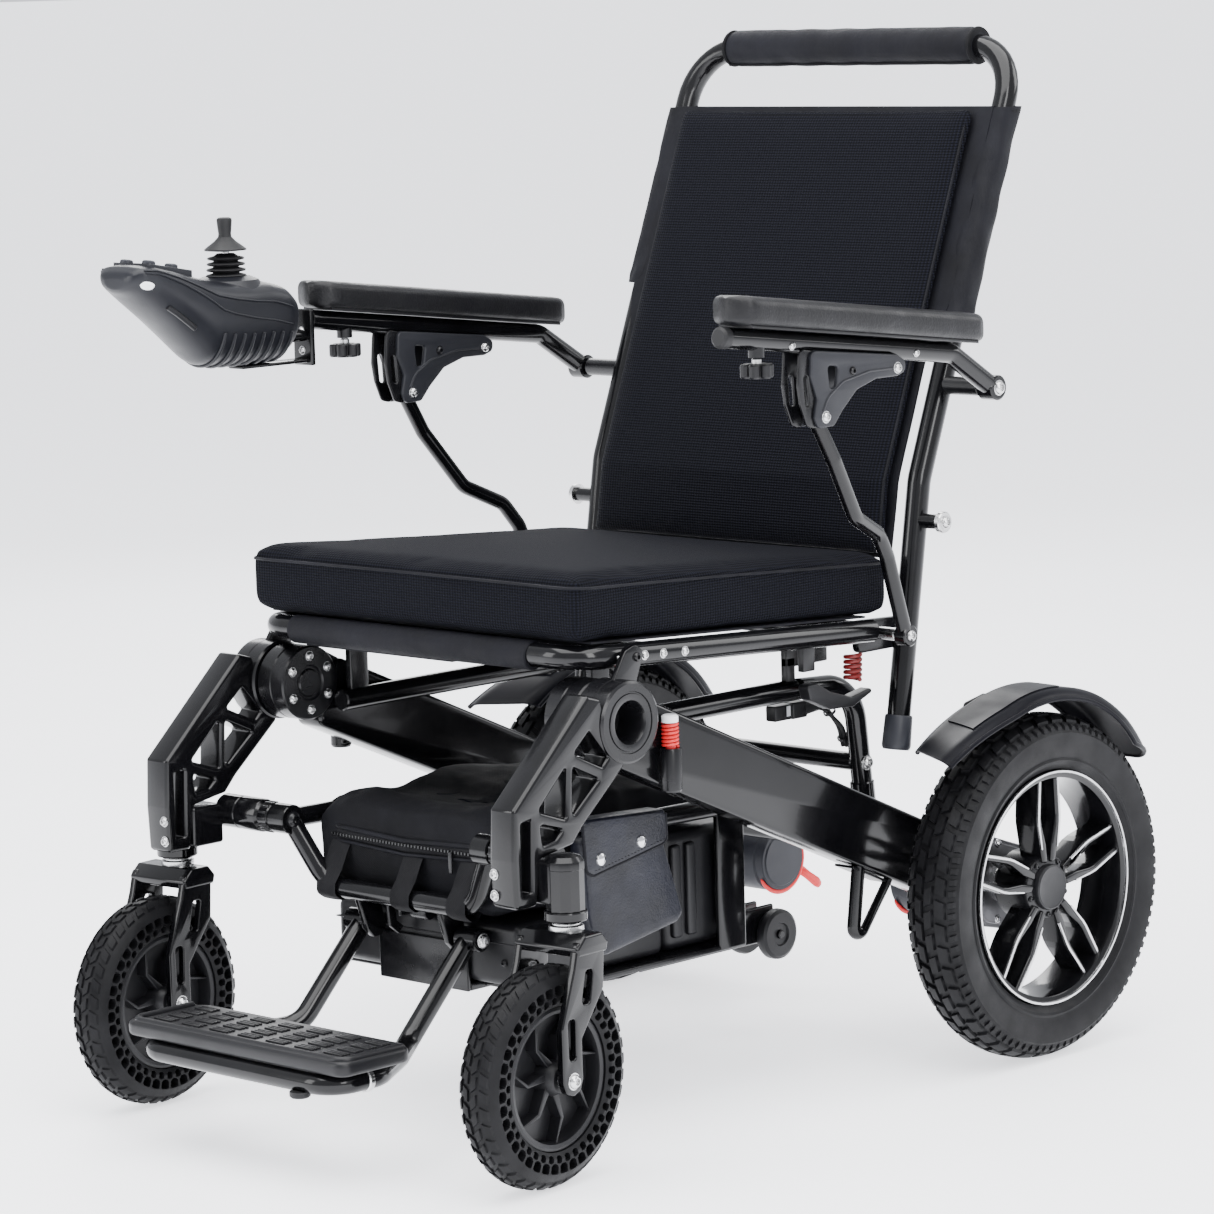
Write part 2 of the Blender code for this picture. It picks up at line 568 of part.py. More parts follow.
def release_pedal():
    x = 0.1920
    return fuse("release_pedal", PLASTIC, [plate(
        [(0.072, 0.366), (0.086, 0.366), (0.104, 0.3560), (0.132, 0.3480), (0.158, 0.3530), (0.160, 0.3490),
         (0.134, 0.3390), (0.104, 0.3400), (0.076, 0.3520)], x - 0.0065, x + 0.0065)])


def support_link():
    """The bent rear tubes between the beams and the seat rails, with their cross bar."""
    tubes = [tube([(side * 0.1520, 0.1985, 0.2360), (side * 0.1520, 0.1850, 0.3500),
                   (side * 0.1520, 0.1100, 0.3540)], 0.0100, 0.045, 5) for side in (1, -1)]
    bar = rod((-0.1520, 0.1900, 0.2760), (0.1520, 0.1900, 0.2760), 0.0085, 12)
    return fuse("support_link", FRAME_PAINT, [*tubes, bar])


def harness_cable():
    """The cable loom tied along the left link tube, with its plug-in coupler."""
    x = 0.1370
    loom = tube([(x, 0.1900, 0.2900), (x, 0.1845, 0.3080), (x, 0.1600, 0.3300), (x, 0.1340, 0.3330)],
                0.0040, 0.020, 4)
    coupler = box((x - 0.008, 0.0900, 0.3240), (x + 0.006, 0.1380, 0.3400), 0.002)
    return fuse("harness_cable", PLASTIC, [coupler, loom])


# ---- back ---------------------------------------------------------------------------------
POST_LOW = Vector((0, 0.1905, 0.294))
POST_BEND = Vector((0, 0.2300, 0.534))
POST_TOP = Vector((0, 0.3815, 0.9215))
PEG_Z = 0.498


def back_y(z):
    """Y of the post's middle line at a height."""
    if z < POST_BEND.z:
        share = (z - POST_LOW.z) / (POST_BEND.z - POST_LOW.z)
        return POST_LOW.y + share * (POST_BEND.y - POST_LOW.y)
    return POST_BEND.y + (z - POST_BEND.z) / (POST_TOP.z - POST_BEND.z) * (POST_TOP.y - POST_BEND.y)


def back_frame():
    ends = (POST_LOW, POST_BEND, POST_TOP)
    path = [at(POST_X, place) for place in ends] + [at(-POST_X, place) for place in ends[::-1]]
    hoop = tube(path, POST_R, POST_BEND_R, 4)
    feet, pegs, stubs = [], [], []
    for side in (1, -1):
        foot = at(side * POST_X, POST_LOW)
        rise = (POST_BEND - POST_LOW).normalized()
        feet.append(rod(foot - rise * 0.002, foot + rise * 0.038, 0.0158, 16))
        stubs.append(rod((side * POST_X, ARM_PIN.y, ARM_PIN.z), (side * 0.2465, ARM_PIN.y, ARM_PIN.z), 0.0085, 14))
        pegs.append(rod((side * POST_X, back_y(PEG_Z), PEG_Z), (side * 0.2380, back_y(PEG_Z), PEG_Z), 0.0070, 12))
    return fuse("back_frame", FRAME_PAINT, [hoop, *feet, *stubs, *pegs])


def back_outline(z_low, z_high, ahead, thick):
    """A strip that follows the posts' line from z_low to z_high, its rear face ahead of them."""
    heights = [z_low, POST_BEND.z, z_high]
    front = [(back_y(z) - ahead - thick, z) for z in heights]
    rear = [(back_y(z) - ahead, z) for z in heights]
    return front + rear[::-1]


def back_sling():
    """The cloth stretched between the posts, with a pocket sewn round each post."""
    edge = POST_X + POST_R + 0.0040
    sheet = plate(back_outline(0.4700, 0.8680, 0.0120, 0.0035), -edge + 0.001, edge - 0.001)
    pockets = [plate(back_outline(0.4800, 0.8640, -0.0150, 0.0290), *sorted((side * 0.1880, side * edge)))
               for side in (1, -1)]
    rooms = [tube([at(side * POST_X, POST_LOW), at(side * POST_X, POST_BEND), at(side * POST_X, POST_TOP)],
                  POST_R + 0.0018, POST_BEND_R) for side in (1, -1)]
    for side in (1, -1):
        rooms.append(rod((side * 0.2000, ARM_PIN.y, ARM_PIN.z), (side * 0.2500, ARM_PIN.y, ARM_PIN.z), 0.0115))
        rooms.append(rod((side * 0.2000, back_y(PEG_Z), PEG_Z), (side * 0.2500, back_y(PEG_Z), PEG_Z), 0.0095))
    return fuse("back_sling", NYLON, [sheet, *pockets], rooms)


def back_panel():
    half = 0.1860
    return fuse("back_panel", FABRIC, [plate(back_outline(0.4900, 0.8620, 0.0160, 0.0150), -half, half)])


def handle_sleeve():
    centre = Vector((0, POST_TOP.y, POST_TOP.z))
    return fuse("handle_sleeve", NYLON, [turned(
        [(POST_R + 0.0006, 0.1450), (POST_R + 0.0055, 0.1450), (POST_R + 0.0055, -0.1450),
         (POST_R + 0.0006, -0.1450)], centre, 16)])


# ---- arms ---------------------------------------------------------------------------------
ARM_FRONT = Vector((0, -0.0960, 0.6900))
ARM_KNEE = Vector((0, 0.2050, 0.6540))
STRUT_TOP = Vector((0, 0.0220, 0.6130))


def arm_z(y):
    """Height of the arm tube's middle line."""
    return ARM_FRONT.z + (y - ARM_FRONT.y) / (ARM_KNEE.y - ARM_FRONT.y) * (ARM_KNEE.z - ARM_FRONT.z)


def arm_tube(side, word):
    x = side * ARM_X
    spar = tube([(x, ARM_FRONT.y, ARM_FRONT.z), (x, ARM_KNEE.y, ARM_KNEE.z), (x, 0.2590, 0.6220)],
                ARM_TUBE_R, 0.022, 3)
    eye = rod((x - 0.0090, ARM_PIN.y, ARM_PIN.z), (x + 0.0090, ARM_PIN.y, ARM_PIN.z), 0.0115, 16)
    outline = [(-0.0020, arm_z(0) - 0.004), (0.1640, arm_z(0.164) - 0.004), (0.1600, arm_z(0.16) - 0.024),
               (0.1100, arm_z(0.11) - 0.034), (0.0560, 0.6280), (0.0340, 0.6010), (0.0120, 0.6010),
               (0.0040, 0.6200)]
    cheeks = [plate(outline, *sorted((x + edge * 0.0088, x + edge * 0.0128)), 0.006, 2) for edge in (-1, 1)]
    web = plate([(0.0560, arm_z(0.056) - 0.004), (0.1620, arm_z(0.162) - 0.004), (0.1560, arm_z(0.156) - 0.022),
                 (0.1100, arm_z(0.11) - 0.030)], x - 0.0095, x + 0.0095)
    cross = rod((x - 0.0125, 0.0800, arm_z(0.08) - 0.003), (x + 0.0125, 0.0800, arm_z(0.08) - 0.003), 0.006, 10)
    boss = rod((x, -0.0500, arm_z(-0.05)), (x, -0.0500, arm_z(-0.05) - 0.0150), 0.0070, 14)
    shapes = [spar, eye, web, *cheeks, cross, boss]
    bore_end = ARM_FRONT + (ARM_KNEE - ARM_FRONT).normalized() * 0.070
    start = ARM_FRONT - (ARM_KNEE - ARM_FRONT).normalized() * 0.01
    cuts = [rod(at(x, start), at(x, bore_end), 0.0062, 12)] if side < 0 else []
    return fuse("arm_" + word, FRAME_PAINT, shapes, cuts)


def arm_pad(side, word):
    low, high = sorted((side * (PAD_X - 0.0235), side * (PAD_X + 0.0235)))
    front, rear = -0.0920, 0.2320
    up = ARM_TUBE_R + 0.0006
    return fuse("arm_pad_" + word, PAD_SKIN, [plate(
        [(front + 0.006, arm_z(front + 0.006) + up), (front, arm_z(front) + up + 0.010),
         (front + 0.008, arm_z(front) + up + 0.0270), (rear - 0.008, arm_z(rear) + up + 0.0270),
         (rear, arm_z(rear) + up + 0.016), (rear - 0.004, arm_z(rear) + up)], low, high)])


def arm_strut(side, word):
    x_low = STRUT_PIN.x
    path = [(x_low, STRUT_PIN.y, STRUT_PIN.z), (0.2320, 0.1440, 0.4760), (0.2360, 0.1280, 0.4980),
            (0.2460, 0.0860, 0.5180), (ARM_X, 0.0460, 0.5730), (ARM_X, STRUT_TOP.y, STRUT_TOP.z)]
    bar = tube([(side * x, y, z) for x, y, z in path], 0.0072, 0.020, 3)
    eye = rod((side * (x_low - 0.0060), STRUT_PIN.y, STRUT_PIN.z),
              (side * (x_low + 0.0075), STRUT_PIN.y, STRUT_PIN.z), 0.0100, 14)
    top = rod((side * ARM_X - 0.0080, STRUT_TOP.y, STRUT_TOP.z), (side * ARM_X + 0.0080, STRUT_TOP.y, STRUT_TOP.z),
              0.0085, 14)
    return fuse("arm_strut_" + word, FRAME_PAINT, [bar, eye, top])


def clamp_knob(side, word):
    x, y = side * ARM_X, -0.0500
    top = arm_z(y) - 0.0154
    stem = rod((x, y, top), (x, y, top - 0.0060), 0.0045, 12)
    lobes = [rod((x + 0.0085 * cos(k * pi / 3), y + 0.0085 * sin(k * pi / 3), top - 0.0050),
                 (x + 0.0085 * cos(k * pi / 3), y + 0.0085 * sin(k * pi / 3), top - 0.0170), 0.0050, 8)
             for k in range(6)]
    core = rod((x, y, top - 0.0045), (x, y, top - 0.0175), 0.0098, 12)
    return fuse("clamp_knob_" + word, PLASTIC, [core, stem, *lobes])


# ---- hand controller ----------------------------------------------------------------------
STICK = Vector((CTRL_X, -0.1940, 0.7315))       # where the joystick tilts
PANEL_SLOPE = radians(9.0)                      # the button panel rises towards the front


def controller_bracket():
    x, front = -ARM_X, ARM_FRONT.y
    along = (ARM_FRONT - ARM_KNEE).normalized()
    start = at(x, ARM_FRONT - along * 0.064)
    slider = rod(start, at(x, ARM_FRONT + along * 0.004), 0.0055, 12)
    upright = box((x - 0.0120, front - 0.0075, 0.6500), (x + 0.0120, front - 0.0015, 0.7000))
    foot = box((x - 0.0100, front - 0.0560, 0.6500), (x + 0.0100, front - 0.0020, 0.6545))
    peg = rod((CTRL_X, front - 0.0340, 0.6530), (CTRL_X, front - 0.0340, 0.6685), 0.0075, 14)
    return fuse("controller_bracket", FRAME_PAINT, [upright, foot, slider, peg])


def controller_body():
    half = 0.0400
    hull = plate([(-0.3260, 0.7460), (-0.3120, 0.7570), (-0.2500, 0.7460), (-0.2180, 0.7330), (-0.1700, 0.7330),
                  (-0.1500, 0.7220), (-0.1420, 0.7060), (-0.1440, 0.6860), (-0.1560, 0.6700), (-0.2380, 0.6690),
                  (-0.2800, 0.6900), (-0.3200, 0.7300)], CTRL_X - half, CTRL_X + half)
    cuts = []
    for side in (1, -1):
        cuts.append(rod((CTRL_X + side * 0.0400, -0.3260, 0.60), (CTRL_X + side * 0.0400, -0.3260, 0.80), 0.0180, 4))
    for place in button_places():
        normal = panel_normal()
        cuts.append(rod(place - normal * 0.0045, place + normal * 0.01, 0.0066, 12))
    well = rod(STICK - Vector((0, 0, 0.016)), STICK + Vector((0, 0, 0.03)), 0.0135, 16)
    return fuse("controller_body", PLASTIC, [hull], [*cuts, well])


def panel_normal():
    return Vector((0, sin(PANEL_SLOPE), cos(PANEL_SLOPE)))


def panel_z(y):
    """Height of the button panel, which is the hull's top between nose and stick."""
    return 0.7570 - (y + 0.3120) / 0.0620 * 0.0110


def button_places():
    places = []
    for dy in (-0.2980, -0.2720):
        for dx in (-0.0150, 0.0150):
            places.append(Vector((CTRL_X + dx, dy, panel_z(dy))))
    return places


def button(word, place):
    normal = panel_normal()
    return fuse(word, GREY_PLASTIC, [rod(place - normal * 0.0028, place + normal * 0.0016, 0.0060, 14)])


def joystick_boot():
    profile = [(0.0060, 0.0220), (0.0085, 0.0220), (0.0085, 0.0185), (0.0130, 0.0160), (0.0090, 0.0130),
               (0.0155, 0.0100), (0.0105, 0.0065), (0.0185, 0.0030), (0.0185, -0.0010), (0.0140, -0.0010)]
    inner = [(0.0128, 0.0000), (0.0060, 0.0140)]
    return fuse("joystick_boot", RUBBER, [turned(profile + inner, STICK + Vector((0, 0, 0.0030)), 20, (0, 0, 1))])


def joystick_gimbal():
    """The cross ring inside the boot, which tilts sideways and carries the stick."""
    return fuse("joystick_gimbal", STEEL, [turned(
        [(0.0058, 0.0020), (0.0100, 0.0020), (0.0100, -0.0020), (0.0058, -0.0020)], STICK, 16, (0, 0, 1))])


def joystick_stick():
    rise = Vector((0, 0, 1))
    shaft = rod(STICK - rise * 0.0060, STICK + rise * 0.0300, 0.0036, 12)
    skirt = turned([(0, 0.0400), (0.0070, 0.0380), (0.0085, 0.0300), (0.0180, 0.0262), (0.0175, 0.0256), (0, 0.0270)],
                   STICK, 18, (0, 0, 1))
    head = rod(STICK + rise * 0.0360, STICK + rise * 0.0580, 0.0052, 14, 0.0072)
    return fuse("joystick", PLASTIC, [skirt, shaft, head])


# ---- assembly -----------------------------------------------------------------------------
def build():
    root = pivot("rear_frame_origin", (0, 0, 0))
    front = pivot("front_fold", HINGE, root)
    tray = pivot("tray_level", STUB, front)
    seat = pivot("seat_level", SEAT_PIN, front)
    back = pivot("back_fold", BACK_PIN, seat)
    link = pivot("link_fold", LINK_PIN, root)
    step = pivot("footrest_flip", STEP_PIN, tray)

    fixed = [rear_cross_tube()]
    for side, word in SIDES:
        fixed += [main_beam(side, word), motor(side, word), fender(side, word)]
        hang([lock_plunger(side, word)], pivot("lock_plunger_lift_" + word, (side * 0.2085, -0.118, 0.3075), root))
        hang([clutch_lever(side, word)],
             pivot("clutch_turn_" + word, (side * 0.0888, AXLE.y + 0.050, AXLE.z - 0.024), root))
        hang(rear_wheel(side, word), pivot("rear_wheel_spin_" + word, (side * REAR_X, AXLE.y, AXLE.z), root))
        fork, tyre, rim, hub = caster(side, word)
        swivel = pivot("caster_swivel_" + word, (side * STEM_X, STEM_Y, STEM_LOW), front)
        hang([fork], swivel)
        hang([tyre, rim], pivot("caster_spin_" + word, hub, swivel))
        hang([lattice_arm(side, word)], front)
        arm = pivot("arm_flip_" + word, (side * ARM_X, ARM_PIN.y, ARM_PIN.z), back)
        hang([arm_tube(side, word), arm_pad(side, word)], arm)
        hang([clamp_knob(side, word)], pivot("clamp_knob_turn_" + word, (side * ARM_X, -0.0500, 0.66), arm))
        hang([arm_strut(side, word)], pivot("strut_fold_" + word, (side * STRUT_PIN.x, *STRUT_PIN[1:]), seat))
        if side < 0:
            slide = pivot("controller_slide", at(-ARM_X, ARM_FRONT), arm)
    hang(fixed, root)
    hang([tray_frame(), control_box(), storage_bag(), side_pouch()], tray)
    hang([battery_pack()], pivot("battery_slide", (0, 0.074, BATTERY_TOP), tray))
    hang([trolley_roller()], pivot("trolley_roller_spin", ROLLER, tray))
    hang([footrest_frame(), footplate()], step)
    hang([seat_frame(), seat_pan(), seat_cushion()], seat)
    hang([release_pedal()], pivot("release_pedal_squeeze", (0.1920, 0.079, 0.359), seat))
    hang([support_link(), harness_cable()], link)
    hang([back_frame(), back_sling(), back_panel(), handle_sleeve()], back)
    hang([controller_bracket(), controller_body(), joystick_boot()], slide)
    gimbal = pivot("joystick_side_tilt", STICK, slide)
    hang([joystick_gimbal()], gimbal)
    hang([joystick_stick()], pivot("joystick_fore_tilt", STICK, gimbal))
    words = ("power_button", "horn_button", "slower_button", "faster_button")
    for word, place in zip(words, button_places()):
        hang([button(word, place)], pivot(word + "_press", place, slide))


build()
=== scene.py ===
"""The folding power wheelchair's finished look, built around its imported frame. Metres, +Z up, facing -Y."""

from math import atan2, cos, pi, radians, sin, tan

import bmesh
import bpy
import numpy as np
from mathutils import Matrix, Vector, noise


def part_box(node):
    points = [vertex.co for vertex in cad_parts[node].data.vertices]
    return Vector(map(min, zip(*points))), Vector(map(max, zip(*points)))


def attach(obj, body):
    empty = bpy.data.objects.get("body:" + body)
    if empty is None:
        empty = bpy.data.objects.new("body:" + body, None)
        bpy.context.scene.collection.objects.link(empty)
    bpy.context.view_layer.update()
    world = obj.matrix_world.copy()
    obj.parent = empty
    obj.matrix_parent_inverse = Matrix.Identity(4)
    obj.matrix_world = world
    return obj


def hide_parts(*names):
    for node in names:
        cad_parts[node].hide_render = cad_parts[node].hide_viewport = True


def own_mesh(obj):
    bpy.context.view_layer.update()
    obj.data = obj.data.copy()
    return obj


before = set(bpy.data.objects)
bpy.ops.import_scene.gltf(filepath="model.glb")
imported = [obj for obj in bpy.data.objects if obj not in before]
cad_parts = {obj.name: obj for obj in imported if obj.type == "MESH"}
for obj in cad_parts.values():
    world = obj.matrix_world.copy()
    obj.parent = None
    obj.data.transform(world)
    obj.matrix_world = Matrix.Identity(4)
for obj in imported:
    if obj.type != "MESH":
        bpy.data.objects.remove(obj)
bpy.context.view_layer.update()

# ---- shared dimensions, as the frame has them -----------------------------------------------
AXLE_Y, AXLE_Z = 0.2935, 0.159
HINGE_Y, HINGE_Z = -0.1935, 0.372
STEM_X, STEM_Y, TRAIL, CASTER_R = 0.2456, -0.289, 0.0359, 0.0943
CASTER_TURN = radians(4.7)
STUB_Y, STUB_Z = -0.262, 0.262
STEP_Y, STEP_Z = -0.229, 0.172
ARM_X, PAD_X, CTRL_X = 0.2575, 0.261, -0.256
POST_X = 0.1985
STICK = Vector((CTRL_X, -0.194, 0.7315))
SIDES = ((1, "left"), (-1, "right"))
POST_LINE = ((0.1905, 0.294), (0.23, 0.534), (0.3815, 0.9215))
ARM_FRONT, ARM_KNEE, ARM_PIN = (-0.096, 0.69), (0.205, 0.654), (0.2635, 0.618)


# ---- materials --------------------------------------------------------------------------------
class Look:
    """A procedural material: a Principled shader and the nodes that drive it."""

    def __init__(self, name, color, rough, metallic=0.0, coat=0.0, sheen=0.0, specular=0.5):
        self.made = bpy.data.materials.new(name)
        self.made.use_nodes = True
        self.tree = self.made.node_tree
        self.shader = self.tree.nodes["Principled BSDF"]
        self.color, self.rough = color, rough
        self.put("Base Color", (*color, 1))
        self.put("Roughness", rough)
        self.put("Metallic", metallic)
        self.put("Coat Weight", coat)
        self.put("Coat Roughness", 0.06)
        self.put("Sheen Weight", sheen)
        self.put("Specular IOR Level", specular)
        self.height = None
        self.made.diffuse_color = (*color, 1)

    def put(self, socket, value):
        self.shader.inputs[socket].default_value = value

    def node(self, kind, **settings):
        made = self.tree.nodes.new(kind)
        for key, value in settings.items():
            if key in made.inputs:
                made.inputs[key].default_value = value
            else:
                setattr(made, key, value)
        return made

    def link(self, source, target):
        self.tree.links.new(source, target)

    def place(self):
        return self.node("ShaderNodeTexCoord").outputs["Object"]

    def grain(self, scale, detail=3.0, stretch=None):
        """Noise at a scale, whose output runs from 0 to 1."""
        made = self.node("ShaderNodeTexNoise", Scale=scale, Detail=detail, Roughness=0.6)
        source = self.place()
        if stretch:
            mapping = self.node("ShaderNodeMapping")
            mapping.inputs["Scale"].default_value = stretch
            self.link(source, mapping.inputs["Vector"])
            source = mapping.outputs["Vector"]
        self.link(source, made.inputs["Vector"])
        return made.outputs["Fac"]

    def ramp(self, source, low, high, low_value, high_value):
        made = self.node("ShaderNodeMapRange")
        for key, value in (("From Min", low), ("From Max", high), ("To Min", low_value),
                ("To Max", high_value)):
            made.inputs[key].default_value = value
        self.link(source, made.inputs["Value"])
        return made.outputs["Result"]

    def math(self, operation, first, second=None):
        made = self.node("ShaderNodeMath", operation=operation)
        for socket, value in zip(made.inputs, (first, second)):
            if value is None:
                continue
            if isinstance(value, (int, float)):
                socket.default_value = value
            else:
                self.link(value, socket)
        return made.outputs[0]

    def vary_rough(self, source, low, high):
        self.link(self.ramp(source, 0.3, 0.7, low, high), self.shader.inputs["Roughness"])
        return self

    def vary_color(self, source, other, low=0.35, high=0.65):
        mix = self.node("ShaderNodeMix", data_type="RGBA")
        self.link(self.ramp(source, low, high, 0, 1), mix.inputs["Factor"])
        mix.inputs["A"].default_value = (*self.color, 1)
        mix.inputs["B"].default_value = (*other, 1)
        self.link(mix.outputs["Result"], self.shader.inputs["Base Color"])
        return self

    def bump(self, source, strength, distance):
        made = self.node("ShaderNodeBump", Strength=strength, Distance=distance)
        self.link(source, made.inputs["Height"])
        if self.height:
            self.link(self.height, made.inputs["Normal"])
        self.height = made.outputs["Normal"]
        self.link(self.height, self.shader.inputs["Normal"])
        return self

    def flat_place(self):
        """Two coordinates that lie in the surface: XY on top, YZ on the sides, XZ in front."""
        coordinates = self.node("ShaderNodeTexCoord")
        normal = self.node("ShaderNodeSeparateXYZ")
        self.link(coordinates.outputs["Normal"], normal.inputs[0])
        place = self.node("ShaderNodeSeparateXYZ")
        self.link(coordinates.outputs["Object"], place.inputs[0])
        upward = self.math("GREATER_THAN", self.math("ABSOLUTE", normal.outputs["Z"]), 0.72)
        sideways = self.math("GREATER_THAN", self.math("ABSOLUTE", normal.outputs["X"]), 0.72)
        x, y, z = (place.outputs[axis] for axis in "XYZ")
        across = self.choose(sideways, x, y)
        along = self.choose(upward, z, y)
        return across, along

    def choose(self, switch, off, on):
        mix = self.node("ShaderNodeMix", data_type="FLOAT")
        self.link(switch, mix.inputs["Factor"])
        self.link(off, mix.inputs["A"])
        self.link(on, mix.inputs["B"])
        return mix.outputs["Result"]

    def lattice(self, pitch_across, pitch_along, diagonal):
        """Crossed waves in the surface: a mesh when diagonal, a plain weave when not."""
        across, along = self.flat_place()
        u = self.math("MULTIPLY", across, 2 * pi / pitch_across)
        v = self.math("MULTIPLY", along, 2 * pi / pitch_along)
        if diagonal:
            u, v = self.math("ADD", u, v), self.math("SUBTRACT", u, v)
        product = self.math("MULTIPLY", self.math("SINE", u), self.math("SINE", v))
        return self.ramp(product, -1, 1, 0, 1)


def gloss_paint():
    look = Look("gloss_paint", (0.0016, 0.0016, 0.002), 0.14, coat=0.14, specular=0.26)
    look.vary_rough(look.grain(9, 4), 0.1, 0.22)
    look.vary_color(look.grain(14, 5), (0.0042, 0.0042, 0.005))
    return look.bump(look.grain(420, 2), 0.05, 0.0004)


def cast_paint():
    look = Look("cast_paint", (0.0022, 0.0022, 0.0028), 0.26, coat=0.06, specular=0.3)
    look.vary_rough(look.grain(16, 4), 0.2, 0.33)
    look.vary_color(look.grain(11, 5), (0.0062, 0.0062, 0.0075))
    return look.bump(look.grain(900, 3), 0.12, 0.0004)


def moulded(name, color, rough, grain_scale=1400, strength=0.25, specular=0.3):
    look = Look(name, color, rough, specular=specular)
    look.vary_rough(look.grain(24, 4), rough - 0.08, rough + 0.08)
    look.vary_color(look.grain(7, 5), tuple(min(1, c * 1.5) for c in color))
    return look.bump(look.grain(grain_scale, 2), strength, 0.0005)


def mesh_fabric():
    look = Look("mesh_fabric", (0.0009, 0.001, 0.002), 0.84, sheen=0.0, specular=0.1)
    cells = look.lattice(0.0064, 0.005, True)
    look.vary_color(cells, (0.0052, 0.0058, 0.0108), 0.4, 0.78)
    look.bump(cells, 0.9, 0.0012)
    return look.bump(look.grain(60, 4), 0.25, 0.0015)


def woven(name, color, light, rough, pitch=0.0016, creases=22):
    look = Look(name, color, rough, sheen=0.0, specular=0.14)
    threads = look.lattice(pitch, pitch, False)
    look.vary_color(look.grain(creases * 0.7, 5), light, 0.3, 0.75)
    look.vary_rough(look.grain(30, 3), rough - 0.1, rough + 0.08)
    look.bump(threads, 0.45, 0.0004)
    return look.bump(look.grain(creases, 4), 0.5, 0.003)


def leatherette(name, color, light, rough):
    look = Look(name, color, rough, coat=0.04, specular=0.26)
    pores = look.node("ShaderNodeTexVoronoi", Scale=520.0)
    look.link(look.place(), pores.inputs["Vector"])
    look.vary_color(look.grain(26, 6), light, 0.35, 0.72)
    look.vary_rough(look.grain(40, 3), rough - 0.08, rough + 0.1)
    look.bump(pores.outputs["Distance"], 0.3, 0.0006)
    return look.bump(look.grain(36, 5), 0.35, 0.003)


def tyre_rubber():
    look = Look("tyre_rubber", (0.0026, 0.0026, 0.0032), 0.46, specular=0.15)
    look.vary_rough(look.grain(30, 4), 0.38, 0.6)
    look.vary_color(look.grain(38, 6), (0.0066, 0.0066, 0.0076))
    return look.bump(look.grain(1100, 3), 0.3, 0.0006)


def brushed(name, color, rough):
    look = Look(name, color, rough, metallic=1.0)
    look.vary_rough(look.grain(60, 4), rough - 0.07, rough + 0.1)
    look.vary_color(look.grain(30, 5), tuple(c * 0.8 for c in color))
    return look.bump(look.grain(500, 2, (1, 1, 8)), 0.06, 0.0004)


PAINT = gloss_paint()
CAST = cast_paint()
PLASTIC = moulded("black_plastic", (0.0045, 0.0045, 0.0055), 0.4)
DARK_PLASTIC = moulded("dark_plastic", (0.0095, 0.01, 0.013), 0.46)
GREY_PLASTIC = moulded("grey_plastic", (0.015, 0.016, 0.021), 0.46, 800, 0.15)
FENDER_PLASTIC = moulded("fender_plastic", (0.0034, 0.0034, 0.005), 0.34, 1600, 0.06, 0.06)
SHELL = moulded("controller_shell", (0.0052, 0.0056, 0.008), 0.38, 1800, 0.1)
TYRE = tyre_rubber()
SOFT_RUBBER = moulded("soft_rubber", (0.0062, 0.0062, 0.007), 0.5)
MESH = mesh_fabric()
NYLON = woven("nylon_cloth", (0.003, 0.003, 0.0042), (0.0068, 0.007, 0.0105), 0.62)
BAG_CLOTH = woven("bag_cloth", (0.0018, 0.0018, 0.0026), (0.0046, 0.0048, 0.0072), 0.74, 0.002, 14)
WEBBING = woven("webbing", (0.004, 0.004, 0.0048), (0.009, 0.009, 0.0105), 0.74, 0.0022, 60)
POUCH_SKIN = leatherette("pouch_skin", (0.0032, 0.0036, 0.007), (0.008, 0.009, 0.0165), 0.38)
PAD_SKIN = leatherette("pad_skin", (0.0032, 0.0032, 0.004), (0.0064, 0.0064, 0.008), 0.44)
ALLOY = brushed("machined_alloy", (0.62, 0.62, 0.63), 0.22)
CASTING = brushed("gearbox_casting", (0.2, 0.2, 0.21), 0.42)
ZINC = brushed("zinc_steel", (0.66, 0.66, 0.66), 0.24)
CHROME = brushed("chrome", (0.78, 0.78, 0.8), 0.1)
RED = moulded("red_plastic", (0.56, 0.018, 0.02), 0.3, 900, 0.1)
DARK_RED = moulded("dark_red_paint", (0.11, 0.006, 0.006), 0.34, 900, 0.1)
MILKY = moulded("milky_lens", (0.78, 0.8, 0.83), 0.16, 900, 0.04)
LABEL = moulded("pale_tag", (0.42, 0.43, 0.45), 0.55, 900, 0.05)


# ---- mesh helpers -------------------------------------------------------------------------------
def made_object(name, bm, look, sharp=38):
    bmesh.ops.recalc_face_normals(bm, faces=bm.faces)
    mesh = bpy.data.meshes.new(name)
    bm.to_mesh(mesh)
    bm.free()
    made = bpy.data.objects.new(name, mesh)
    bpy.context.scene.collection.objects.link(made)
    if look:
        mesh.materials.append(look.made)
        made["look"] = look.made.name
    mesh.shade_smooth()
    mesh.set_sharp_from_angle(angle=radians(sharp))
    return made


def settle(made):
    """Applies an object's modifiers."""
    bpy.context.view_layer.update()
    graph = bpy.context.evaluated_depsgraph_get()
    mesh = bpy.data.meshes.new_from_object(made.evaluated_get(graph))
    made.modifiers.clear()
    made.data = mesh
    return made


